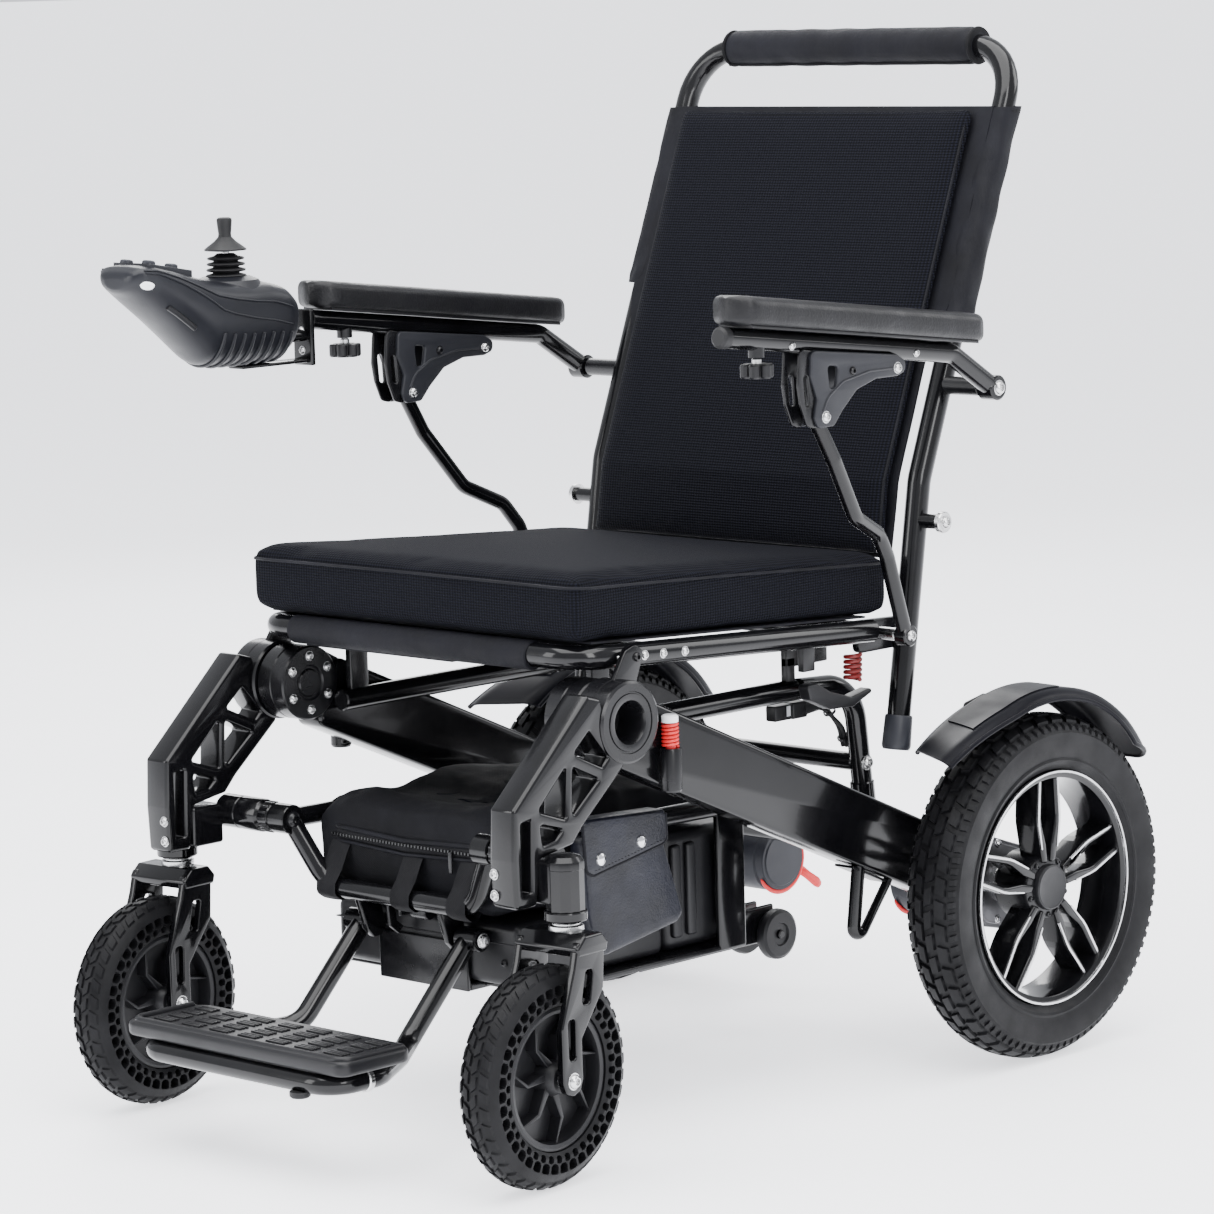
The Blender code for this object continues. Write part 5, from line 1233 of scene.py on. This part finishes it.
def seam_ring(made, below, tall):
    """A closed line round the cushion's side, a little below its top edge."""
    co = points_of(made.data)
    middle = co.mean(0)
    ring = []
    for k in range(160):
        a = 2 * pi * (k + 0.5) / 160
        direction = np.array([cos(a), sin(a)])
        flat = co[:, :2] - middle[:2]
        height = cushion_floor(co[:, 1]) + tall - below
        near = np.abs(co[:, 2] - height) < 0.006
        angle = np.arctan2(flat[:, 1], flat[:, 0])
        gap = np.abs((angle - a + pi) % (2 * pi) - pi)
        pick = near & (gap < 0.03)
        if not pick.any():
            continue
        reach = (flat[pick] @ direction).max()
        x, y = middle[0] + direction[0] * reach, middle[1] + direction[1] * reach
        ring.append((x, y, cushion_floor(y) + tall - below))
    return ring + [ring[0]]


def pedal_and_spring():
    x = 0.192
    pedal = plate("pedal", [(0.072, 0.3655), (0.086, 0.366), (0.104, 0.356), (0.132, 0.348),
        (0.158, 0.353), (0.16, 0.349), (0.134, 0.339), (0.104, 0.34), (0.076, 0.352)], x - 0.0064,
        x + 0.0064, PLASTIC, 0.0016, 0.003)
    piece(pedal, "pedal", "release_pedal")
    spring = coil("pedal_spring", (x, 0.14, 0.362), (x, 0.141, 0.385), 0.0068, 0.0021, 5, DARK_RED)
    piece(spring, "seat")
    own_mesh(spring)


def support_link():
    parts = []
    for side in (1, -1):
        x = side * 0.152
        parts.append(tube("upright", [(x, 0.1985, 0.236), (x, 0.185, 0.35), (x, 0.11, 0.354)], 0.0098,
            PAINT, 0.045, 12, 24))
        parts.append(screw((x + side * 0.01, 0.1925, 0.276), (side, 0, 0), 0.006))
        parts.append(lathe("sleeve", [(0.0098, 0.01), (0.0112, 0.009), (0.0112, -0.009), (0.0098, -0.01)],
            (x, 0.1968, 0.248), PAINT, (0, -0.117, 0.993), 32))
    parts.append(rod("bar", (-0.15, 0.19, 0.276), (0.15, 0.19, 0.276), 0.0083, PAINT))
    piece(join("rear_link", parts), "link", "support_link")

    x = 0.137
    parts = []
    for shift in (-0.0022, 0.0022):
        path = [(x + shift, 0.1905, 0.289), (x + shift, 0.185, 0.308), (x - shift, 0.164, 0.328),
            (x - shift, 0.136, 0.3325)]
        parts.append(tube("lead", path, 0.0021, SOFT_RUBBER, 0.02, 8, 10))
    parts.append(lathe("shrink", [(0, 0.013), (0.0042, 0.013), (0.005, 0.011), (0.0068, -0.008),
        (0.0068, -0.012), (0, -0.012)], (x, 0.142, 0.3322), SOFT_RUBBER, (0, 1, 0), 24))
    parts.append(block("coupler_a", (x - 0.0078, 0.114, 0.3245), (x + 0.0058, 0.134, 0.3398), PLASTIC,
        0.0018))
    parts.append(block("coupler_b", (x - 0.0072, 0.0905, 0.325), (x + 0.0052, 0.115, 0.3392), PLASTIC,
        0.0018))
    parts.append(block("tag", (x + 0.0054, 0.105, 0.3285), (x + 0.0064, 0.11, 0.338), LABEL, 0.0003, 1))
    for y, z in ((0.1885, 0.298), (0.17, 0.324)):
        parts.append(lathe("tie", [(0.005, 0.0012), (0.006, 0.0012), (0.006, -0.0012), (0.005, -0.0012)],
            (x, y, z), PLASTIC, (0, -0.5, 0.86), 20))
    piece(join("cable_loom", parts), "link", "harness_cable")


# ---- back -------------------------------------------------------------------------------------------
def back_frame():
    path = [(POST_X, *p) for p in POST_LINE] + [(-POST_X, *p) for p in POST_LINE[::-1]]
    parts = [tube("hoop", path, 0.0108, PAINT, 0.052, 10, 28)]
    for side in (1, -1):
        foot = Vector((side * POST_X, *POST_LINE[0]))
        rise = Vector((0, POST_LINE[1][0] - POST_LINE[0][0],
            POST_LINE[1][1] - POST_LINE[0][1])).normalized()
        parts.append(lathe("foot_cap", [(0, -0.002), (0.0118, -0.002), (0.013, 0.0), (0.0134, 0.002),
            (0.0126, 0.028), (0.0118, 0.0295), (0.01, 0.0295), (0, 0.0295)], foot, GREY_PLASTIC, rise,
            40))
        parts.append(rod("arm_stub", (side * POST_X, ARM_PIN[0], ARM_PIN[1]), (side * 0.2464, *ARM_PIN),
            0.0083, CAST))
        parts.append(rod("peg", (side * POST_X, post_y(0.498), 0.498),
            (side * 0.234, post_y(0.498), 0.498), 0.0068, PAINT))
        parts.append(lathe("peg_nut", [(0, 0.0), (0.009, 0.0), (0.0098, -0.001), (0.0098, -0.005),
            (0, -0.005)], (side * 0.2335, post_y(0.498), 0.498), ZINC, (side, 0, 0), 24))
        parts.append(screw((side * 0.2345, post_y(0.498), 0.498), (side, 0, 0), 0.0052))
        parts.append(lathe("pivot_disc", [(0, 0.002), (0.0135, 0.002), (0.015, 0.0008), (0.015, -0.002),
            (0, -0.002)], (side * 0.19, 0.2085, 0.398), CAST, (-side, 0, 0), 36))
    piece(join("back_tubes", parts), "back", "back_frame")


BACK_LOW = 0.4645


def back_cloth():
    """The cloth that wraps each post above the arms and crosses behind the padded panel."""
    parts = []
    for side in (1, -1):
        bm = bmesh.new()
        low, high = (0.662, 0.866) if side > 0 else (0.7, 0.866)
        rows, around = 56, 28
        rings = []
        for i in range(rows + 1):
            z = low + (high - low) * i / rows
            bunch = max(0.0, 1 - (z - low) / 0.035) * min(1.0, (z - low) / 0.008)
            ring = []
            for k in range(around):
                a = 2 * pi * k / around
                cx, cy = cos(a), sin(a)
                crease = 0.0016 * noise.noise(Vector((cx * 1.4, z * 40, cy * 1.4 + side)))
                crease += bunch * (0.0014 * sin(5 * a + z * 120) + 0.0008)
                px = POST_X + (0.0148 + crease) * abs(cx) ** 0.8 * (1 if cx > 0 else -1)
                py = post_y(z) + (0.0152 + crease) * abs(cy) ** 0.8 * (1 if cy > 0 else -1)
                ring.append(bm.verts.new((side * px, py, z)))
            rings.append(ring)
        loft(bm, rings)
        parts.append(made_object("pocket", bm, NYLON, 60))
        hem = [(side * (POST_X + 0.0152 * cos(a)), post_y(high) + 0.0156 * sin(a), high - 0.004)
            for a in (2 * pi * k / 24 for k in range(25))]
        parts.append(sweep("hem", hem, 0.0009, WEBBING, 8))
    pockets = join("post_pockets", parts)
    bm = bmesh.new()
    grid = []
    for layer in (0.0, 0.0026):
        rows = []
        for i in range(49):
            z = BACK_LOW + (0.867 - BACK_LOW) * i / 48
            half = 0.185 + 0.014 * min(1.0, max(0.0, (z - 0.64) / 0.05))
            rows.append([bm.verts.new((-half + 2 * half * j / 32,
                post_y(z) - 0.0125 - layer + 0.0014 * noise.noise(Vector((j * 0.17, z * 14, 3.1))), z))
                for j in range(33)])
        grid.append(rows)
    back, front = grid
    for i in range(48):
        for j in range(32):
            bm.faces.new((back[i][j], back[i][j + 1], back[i + 1][j + 1], back[i + 1][j]))
            bm.faces.new((front[i][j], front[i + 1][j], front[i + 1][j + 1], front[i][j + 1]))
        for j in (0, 32):
            bm.faces.new((back[i][j], back[i + 1][j], front[i + 1][j], front[i][j]))
    for j in range(32):
        for i in (0, 48):
            bm.faces.new((back[i][j], back[i][j + 1], front[i][j + 1], front[i][j]))
    sheet = made_object("back_cloth", bm, NYLON, 60)
    piece(pockets, "back")
    piece(sheet, "back", "back_sling")


def back_panel():
    half, low, high = 0.18, 0.4685, 0.864
    middle, tall = (low + high) / 2, high - low
    made = slab("back_pad", half - 0.005, tall / 2 - 0.005, 0.017, MESH, 0.005)
    made = puffed(made, 4.0, 0.0045, 0.005)
    fit(made, (-half, -tall / 2, -0.0115), (half, tall / 2, 0.0115))
    co = points_of(made.data)
    z = co[:, 1] + middle
    knots = np.array(POST_LINE)
    y = np.interp(z, knots[:, 1], knots[:, 0])
    depth = np.where(co[:, 2] < 0, co[:, 2] * 0.25, co[:, 2])
    co = np.stack([co[:, 0], y - 0.02 - depth, z], axis=1)
    move_points(made.data, co)
    line = []
    corners = [(-1, low), (-1, (low + high) / 2), (-1, high), (1, high), (1, (low + high) / 2), (1, low),
        (-1, low)]
    for (s0, z0), (s1, z1) in zip(corners, corners[1:]):
        for k in range(12):
            t = k / 12
            s, zz = s0 + (s1 - s0) * t, z0 + (z1 - z0) * t
            line.append((s * (half - 0.0035), post_y(zz) - 0.0235,
                min(max(zz, low + 0.0035), high - 0.0035)))
    piping = sweep("back_piping", rounded(line + [line[0]], 0.004, 2), 0.0017, NYLON, 8)
    piece(made, "back", "back_panel")
    piece(piping, "back")


def handle_sleeve():
    y, z = POST_LINE[-1]
    rows = 60
    path = [(-0.154 + 0.308 * k / rows, y, z) for k in range(rows + 1)]
    sleeve = sweep("push_sleeve", path, lambda share: 0.0176 + 0.0006
        * noise.noise(Vector((share * 14, 1, 2))) - 0.0022 * max(0, abs(2 * share - 1) - 0.94) / 0.06,
        NYLON, 28)
    seam = sweep("seam", [(x, y - 0.009, z - 0.0157) for x in (-0.152, 0, 0.152)], 0.0011, WEBBING, 8)
    ends = [lathe("end", [(0.0126, 0.0016), (0.0172, 0.0016), (0.0178, 0.0), (0.0172, -0.0016),
        (0.0126, -0.0016)], (s * 0.1525, y, z), WEBBING, (1, 0, 0), 36) for s in (1, -1)]
    piece(join("push_sleeve_cloth", [sleeve, seam, *ends]), "back", "handle_sleeve")


# ---- arms -------------------------------------------------------------------------------------------
def arm(side, word):
    x = side * ARM_X
    body = "arm_" + word + "_body"
    spar = tube("spar", [(x, *ARM_FRONT), (x, *ARM_KNEE), (x, 0.26, 0.6205)], 0.0093, PAINT, 0.022, 8, 24)
    eye = lathe("eye", [(0, 0.009), (0.01, 0.009), (0.0114, 0.0078), (0.0114, -0.0078), (0.01, -0.009),
        (0, -0.009)], (x, *ARM_PIN), PAINT, (1, 0, 0), 40)
    parts = [spar, eye, screw((x + side * 0.0092, *ARM_PIN), (side, 0, 0), 0.006)]
    end = Vector((x, *ARM_FRONT))
    along = (Vector((0, *ARM_FRONT)) - Vector((0, *ARM_KNEE))).normalized()
    if side > 0:
        parts.append(lathe("plug", [(0, 0.0012), (0.007, 0.0012), (0.0092, -0.0006), (0.0096, -0.002),
            (0.0096, -0.008), (0, -0.008)], end + along * 0.0006, SOFT_RUBBER, along, 36))
    cheek = [(0.005, 0.672), (0.118, 0.66), (0.13, 0.6535), (0.129, 0.644), (0.118, 0.6405),
        (0.09, 0.6405), (0.064, 0.633), (0.045, 0.617), (0.033, 0.604), (0.013, 0.6035), (0.008, 0.613),
        (0.012, 0.63), (0.004, 0.65)]
    fork = [(-0.006, 0.674), (0.018, 0.67), (0.018, 0.645), (0.024, 0.62), (0.014, 0.603), (0.002, 0.606),
        (-0.006, 0.625), (-0.009, 0.642)]
    slot_hole = [[(-0.002, 0.65), (0.004, 0.65), (0.006, 0.622), (0.0, 0.624)]]
    window = [[(0.026, 0.657), (0.04, 0.6555), (0.037, 0.638), (0.0285, 0.636)]]
    for edge in (-1, 1):
        parts.append(plate("cheek", cheek, x + edge * 0.0092, x + edge * 0.014, DARK_PLASTIC, 0.0018,
            0.006, window))
        parts.append(plate("fork", fork, x + edge * 0.0072, x + edge * 0.0104, CAST, 0.0012, 0.006,
            slot_hole))
        parts.append(screw((x + edge * 0.0142, 0.022, 0.613), (edge, 0, 0), 0.0046))
        parts.append(screw((x + edge * 0.0142, 0.118, 0.648), (edge, 0, 0), 0.0044))
        parts.append(screw((x + edge * 0.0142, 0.058, 0.65), (edge, 0, 0), 0.0036, CAST))
        rib = [(0.018, 0.618), (0.025, 0.63), (0.045, 0.642), (0.08, 0.648), (0.11, 0.648)]
        parts.append(tube("rib", [(x + edge * 0.014, y, z) for y, z in rib], 0.0011, DARK_PLASTIC, 0.02,
            5, 8))
    parts.append(plate("web", [(0.056, 0.665), (0.12, 0.657), (0.118, 0.645), (0.07, 0.64)], x - 0.0093,
        x + 0.0093, DARK_PLASTIC, 0.0015))
    parts.append(screw((x + side * 0.0088, -0.014, arm_z(-0.014) - 0.003), (side, 0, 0), 0.0034))
    parts.append(screw((x + side * 0.0088, 0.15, arm_z(0.15) - 0.002), (side, 0, 0), 0.0034))
    parts.append(lathe("boss", [(0, 0.0), (0.0066, 0.0), (0.0072, -0.001), (0.0072, -0.0148),
        (0, -0.0148)], (x, -0.05, arm_z(-0.05)), CAST, (0, 0, 1), 28))
    piece(join("arm_assembly_" + word, parts), body, "arm_" + word)

    bm = bmesh.new()
    stations, ring_points = 44, 36
    rings = []
    front, rear = -0.0915, 0.2315
    for i in range(stations + 1):
        share = i / stations
        y = front + (rear - front) * share
        end_share = min(1.0, min(share, 1 - share) / 0.045)
        scale = max(0.02, (1 - (1 - end_share) ** 2.4)) ** 0.5 if end_share < 1 else 1.0
        ring = []
        for k in range(ring_points):
            a = 2 * pi * k / ring_points
            cx, cz = cos(a), sin(a)
            px = side * PAD_X + 0.0234 * scale * (abs(cx) ** 0.45) * (1 if cx > 0 else -1)
            tall = 0.0133 if cz > 0 else 0.013
            round_top = 1.0 - 0.1 * abs(cx) ** 3 if cz > 0 else 1.0
            pz = arm_z(y) + 0.0102 + 0.0134 + tall * (0.72 + 0.28
                * scale) * round_top * (abs(cz) ** 0.5) * (1 if cz > 0 else -1)
            ring.append(bm.verts.new((px, y, pz)))
        rings.append(ring)
    loft(bm, rings)
    pad = made_object("armrest_pad_" + word, bm, PAD_SKIN, 70)
    piece(pad, body, "arm_pad_" + word)
    base = plate("pad_base_" + word, [(front + 0.012, arm_z(front + 0.012) + 0.0096),
        (rear - 0.012, arm_z(rear - 0.012) + 0.0096), (rear - 0.012, arm_z(rear - 0.012) + 0.0122),
        (front + 0.012, arm_z(front + 0.012) + 0.0122)], side * PAD_X - 0.0196, side * PAD_X + 0.0196,
        PLASTIC, 0.0008)
    piece(base, body)


def arm_strut(side, word):
    path = [(0.2265, 0.1735, 0.401), (0.232, 0.144, 0.476), (0.236, 0.128, 0.498), (0.246, 0.086, 0.518),
        (ARM_X, 0.046, 0.573), (ARM_X, 0.022, 0.613)]
    parts = [tube("bar", [(side * x, y, z) for x, y, z in path], 0.007, PAINT, 0.022, 8, 20),
        lathe("eye", [(0, 0.0066), (0.0088, 0.0066), (0.0098, 0.0056), (0.0098, -0.0056), (0, -0.0056)],
        (side * 0.227, 0.1735, 0.401), PAINT, (side, 0, 0), 36),
        screw((side * 0.2336, 0.1735, 0.401), (side, 0, 0), 0.0052),
        lathe("top", [(0, 0.0078), (0.0078, 0.0078), (0.0084, 0.007), (0.0084, -0.007), (0.0078, -0.0078),
        (0, -0.0078)], (side * ARM_X, 0.022, 0.613), CAST, (1, 0, 0), 32)]
    piece(join("strut_" + word, parts), "strut_" + word, "arm_strut_" + word)


def clamp_knob(side, word):
    x, y = side * ARM_X, -0.05
    top = arm_z(y) - 0.0154
    parts = [rod("stem", (x, y, top), (x, y, top - 0.006), 0.0043, ZINC),
        lathe("core", [(0, -0.0045), (0.0085, -0.0045), (0.0098, -0.006), (0.0098, -0.016),
        (0.0085, -0.0174), (0, -0.0174)], (x, y, top), PLASTIC, (0, 0, 1), 36)]
    for k in range(6):
        a = k * pi / 3
        parts.append(lathe("lobe", [(0, -0.005), (0.004, -0.005), (0.005, -0.0062), (0.005, -0.0155),
            (0.004, -0.017), (0, -0.017)], (x + 0.01 * cos(a), y + 0.01 * sin(a), top), PLASTIC,
            (0, 0, 1), 20))
    piece(join("knob_body_" + word, parts), "knob_" + word, "clamp_knob_" + word)


# ---- hand controller --------------------------------------------------------------------------------
HULL = ((-0.3258, 0.013, 0.733, 0.743), (-0.3235, 0.022, 0.73, 0.748), (-0.316, 0.03, 0.725, 0.753),
    (-0.302, 0.035, 0.714, 0.754), (-0.28, 0.0375, 0.6965, 0.749), (-0.255, 0.0385, 0.6745, 0.742),
    (-0.238, 0.0392, 0.659, 0.737), (-0.22, 0.04, 0.6565, 0.734), (-0.194, 0.04, 0.656, 0.7318),
    (-0.17, 0.04, 0.656, 0.7318), (-0.15, 0.0392, 0.6565, 0.727), (-0.14, 0.0365, 0.662, 0.717),
    (-0.1355, 0.031, 0.676, 0.706))


def hull_point(y, angle, out):
    """A point of the controller's skin: angle runs round its section from the left side, up first."""
    half, low, high = (float(np.interp(y, [h[0] for h in HULL], [h[i] for h in HULL])) for i in (1, 2, 3))
    cx, cz = cos(angle), sin(angle)
    middle = low + (high - low) * 0.66
    tall = (high - middle) if cz > 0 else (middle - low)
    px = half * abs(cx) ** (0.7 if cz > 0 else 0.95) * (1 if cx > 0 else -1)
    pz = tall * abs(cz) ** (0.55 if cz > 0 else 0.95) * (1 if cz > 0 else -1)
    return Vector((CTRL_X + px + out * cx, y, middle + pz + out * cz))


def controller_shell():
    bm = bmesh.new()
    around, fine = 44, 48
    rings = []
    for i in range(fine + 1):
        y = HULL[0][0] + (HULL[-1][0] - HULL[0][0]) * (0.5 - 0.5 * cos(pi * i / fine))
        rings.append([bm.verts.new(hull_point(y, 2 * pi * k / around, 0.0)) for k in range(around)])
    loft(bm, rings)
    shell = made_object("shell", bm, SHELL, 55)
    smooth = shell.modifiers.new("smooth", "SUBSURF")
    smooth.levels = smooth.render_levels = 1
    settle(shell)
    shell.data.shade_smooth()
    return shell


def controller():
    x, front = -ARM_X, ARM_FRONT[0]
    along = (Vector((0, *ARM_FRONT)) - Vector((0, *ARM_KNEE))).normalized()
    end = Vector((x, *ARM_FRONT))
    parts = [rod("slider", end - along * 0.064, end + along * 0.004, 0.0054, ZINC),
        block("upright", (x - 0.012, front - 0.0075, 0.6482), (x + 0.012, front - 0.0016, 0.7), PAINT,
        0.0015), block("foot", (x - 0.01, front - 0.09, 0.6512), (x + 0.01, front - 0.002, 0.6545), PAINT,
        0.0012), rod("arm", (x, front - 0.003, 0.676), (x, front - 0.05, 0.676), 0.0058, PAINT)]
    for z in (0.662, 0.68):
        parts.append(screw((x, front - 0.0078, z), (0, -1, 0), 0.0034))
    piece(join("controller_mount", parts), "controller", "controller_bracket")

    shell = controller_shell()
    extras = []
    for k in range(8):
        share_y = -0.23 + 0.0115 * k
        extras.append(sweep("rib", [hull_point(share_y, radians(a), 0.0004)
            for a in range(-22, -160, -6)], 0.0017, SHELL, 8))
    for start, end in ((26, 2), (14, -14)):
        extras.append(sweep("line", [hull_point(-0.315 + 0.165 * k / 30,
            radians(start + (end - start) * k / 30), 0.0002) for k in range(31)], 0.001, SHELL, 8))
        extras.append(sweep("line", [hull_point(-0.315 + 0.165 * k / 30,
            radians(180 - start - (end - start) * k / 30), 0.0002) for k in range(31)], 0.001, SHELL, 8))
    vent = [hull_point(-0.29 + 0.03 * k / 8, radians(-38), 0.0003) for k in range(9)]
    extras.append(sweep("vent", vent, 0.0026, PLASTIC, 10))
    dome = lathe("dome", [(0.018, 0.0052), (0.0215, 0.0052), (0.029, 0.002), (0.0345, -0.006),
        (0.035, -0.015), (0.018, -0.015)], (CTRL_X, STICK.y, 0.731), SHELL, (0, 0, 1), 56)
    spot = hull_point(-0.3135, radians(-20), 0.0)
    light = lathe("light", [(0, 0.0016), (0.004, 0.0014), (0.0066, 0.0006), (0.0074, -0.0012),
        (0, -0.0012)], (0, 0, 0), MILKY, (0, 0, 1), 40)
    light.data.transform(Matrix.Translation(spot) @ Vector((0.45, -0.62, -0.64)).to_track_quat("Z",
        "Y").to_matrix() .to_4x4() @ Matrix.Diagonal((1.0, 0.62, 1.0, 1.0)))
    panel = plate("panel", [(-0.305, 0.7552), (-0.256, 0.7462), (-0.256, 0.74), (-0.305, 0.749)],
        CTRL_X - 0.025, CTRL_X + 0.025, DARK_PLASTIC, 0.0006)
    lamps = [lathe("lamp", [(0, 0.0009), (0.0013, 0.0007), (0.0017, 0.0), (0, 0.0)],
        (CTRL_X - 0.012 + 0.006 * k, -0.262, 0.7474), MILKY, (0, 0.15, 0.99), 16) for k in range(5)]
    piece(join("controller_shell_body", [shell, dome, light, panel, *lamps, *extras]), "controller",
        "controller_body")

    for word in ("power", "horn", "slower", "faster"):
        low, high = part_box(word + "_button")
        centre = (low + high) / 2
        normal = Vector((0, sin(radians(9)), cos(radians(9))))
        cap = lathe("cap", [(0, 0.0034), (0.0046, 0.0034), (0.0058, 0.0024), (0.006, 0.0006),
            (0.006, -0.0003), (0, -0.0003)], centre, GREY_PLASTIC, normal, 32)
        mark = lathe("mark", [(0.0012, 0.0037), (0.0026, 0.0037), (0.0026, 0.0032), (0.0012, 0.0032)],
            centre, LABEL, normal, 20)
        piece(join(word + "_cap", [cap, mark]), word + "_key", word + "_button")


def joystick():
    rings = []
    for k in range(4):
        z, wide = 0.0046 + 0.0052 * k, 0.0186 - 0.0005 * k
        rings += [(wide - 0.006, z - 0.0014), (wide - 0.0008, z - 0.0004), (wide, z + 0.0008),
            (wide - 0.001, z + 0.0018), (wide - 0.0062, z + 0.003)]
    profile = [(0.0176, 0.001), *rings, (0.0078, 0.0254), (0.0056, 0.0254), (0.0056, 0.02), (0.011, 0.001)]
    boot = lathe("joystick_bellows", profile, (CTRL_X, STICK.y, STICK.z), SOFT_RUBBER, (0, 0, 1), 48, 60)
    piece(boot, "controller", "joystick_boot")
    head = lathe("head", [(0, 0.058), (0.0048, 0.0578), (0.0066, 0.0568), (0.007, 0.055), (0.0066, 0.05),
        (0.0058, 0.043), (0.0062, 0.0402), (0.01, 0.0362), (0.016, 0.0318), (0.0192, 0.0292),
        (0.019, 0.028), (0.01, 0.0272), (0.004, 0.0268), (0, 0.0268)], STICK, SOFT_RUBBER, (0, 0, 1), 40)
    shaft = rod("shaft", STICK - Vector((0, 0, 0.006)), STICK + Vector((0, 0, 0.03)), 0.0034, ZINC)
    piece(join("joystick_lever", [head, shaft]), "stick", "joystick")
    ring = lathe("tilt_ring", [(0.0058, 0.002), (0.0096, 0.002), (0.01, 0.0015), (0.01, -0.0015),
        (0.0096, -0.002), (0.0058, -0.002)], STICK, ZINC, (0, 0, 1), 32)
    piece(ring, "gimbal", "joystick_gimbal")


def cross_tube():
    made = rod("rear_cross_bar", (-0.1646, AXLE_Y + 0.002, AXLE_Z + 0.019),
        (0.1646, AXLE_Y + 0.002, AXLE_Z + 0.019), 0.0123, PAINT)
    piece(made, "rear_frame", "rear_cross_tube")


def build():
    cross_tube()
    for side, word in SIDES:
        main_beam(side, word)
        lock_plunger(side, word)
        motor(side, word)
        clutch_lever(side, word)
        fender(side, word)
        rear_tyre(side, word)
        rear_rim(side, word)
        caster(side, word)
        lattice_arm(side, word)
        arm(side, word)
        arm_strut(side, word)
        clamp_knob(side, word)
    tray()
    battery()
    control_box()
    storage_bag()
    side_pouch()
    trolley_roller()
    footrest()
    seat_frame()
    pedal_and_spring()
    support_link()
    back_frame()
    handle_sleeve()
    controller()
    joystick()
    back_cloth()
    seat_cushion()
    back_panel()


# ---- stage ------------------------------------------------------------------------------------------
def stage():
    floor_look = Look("floor", (0.96, 0.962, 0.985), 0.55, specular=0.12)
    floor_look.vary_color(floor_look.grain(1.3, 6), (0.95, 0.952, 0.975), 0.3, 0.7)
    floor_look.vary_rough(floor_look.grain(2.2, 5), 0.42, 0.62)
    floor_look.put("Emission Color", (0.95, 0.96, 1.0, 1))
    floor_look.put("Emission Strength", 1.35)
    bm = bmesh.new()
    middle = bm.verts.new((0, 0, 0))
    rings = [[bm.verts.new((reach * cos(2 * pi * k / 96), reach * sin(2 * pi * k / 96), 0))
        for k in range(96)] for reach in (2.0, 8.0, 30.0, 120.0, 400.0)]
    for k in range(96):
        bm.faces.new((middle, rings[0][k], rings[0][(k + 1) % 96]))
        for low, high in zip(rings, rings[1:]):
            bm.faces.new((low[k], high[k], high[(k + 1) % 96], low[(k + 1) % 96]))
    backdrop = made_object("backdrop", bm, floor_look, 60)
    del backdrop["look"]

    world = bpy.data.worlds.new("studio")
    bpy.context.scene.world = world
    world.use_nodes = True
    world.node_tree.nodes["Background"].inputs["Color"].default_value = (0.93, 0.95, 1.0, 1)
    world.node_tree.nodes["Background"].inputs["Strength"].default_value = 1.12

    def softbox(name, place, target, wide, tall, watts, color=(1, 1, 1)):
        data = bpy.data.lights.new(name, "AREA")
        data.shape = "RECTANGLE"
        data.size, data.size_y = wide, tall
        data.energy = watts
        data.color = color
        made = bpy.data.objects.new(name, data)
        bpy.context.scene.collection.objects.link(made)
        made.location = place
        made.rotation_euler = (Vector(target) - Vector(place)).to_track_quat("-Z", "Y").to_euler()

    softbox("top", (0.3, -0.4, 3.2), (0, 0, 0.3), 3.6, 3.6, 240)
    softbox("key", (3.0, -1.2, 2.0), (0, 0, 0.5), 0.9, 2.2, 62)
    softbox("fill", (-1.6, -3.4, 1.6), (0, 0, 0.4), 1.4, 2.2, 60)
    softbox("rim", (-2.6, 2.2, 2.2), (0, 0, 0.6), 1.6, 2.0, 55)
    softbox("back", (1.8, 3.0, 2.2), (0, 0, 0.6), 1.8, 1.8, 50)


def camera():
    azimuth, pitch, roll = radians(44.1489), radians(7.7155), radians(-1.6586)
    ahead = Vector((-sin(azimuth) * cos(pitch), cos(azimuth) * cos(pitch), -sin(pitch)))
    right = Vector((cos(azimuth), sin(azimuth), 0))
    up = right.cross(ahead)
    across = cos(roll) * right + sin(roll) * up
    above = -sin(roll) * right + cos(roll) * up
    data = bpy.data.cameras.new("view")
    data.sensor_width = 36
    data.lens = 138.74
    made = bpy.data.objects.new("view", data)
    bpy.context.scene.collection.objects.link(made)
    made.matrix_world = Matrix.Translation((2.93204, -2.99686, 0.99784)) @ Matrix((across, above,
        -ahead)).transposed().to_4x4()
    bpy.context.scene.camera = made


camera()
stage()
build()
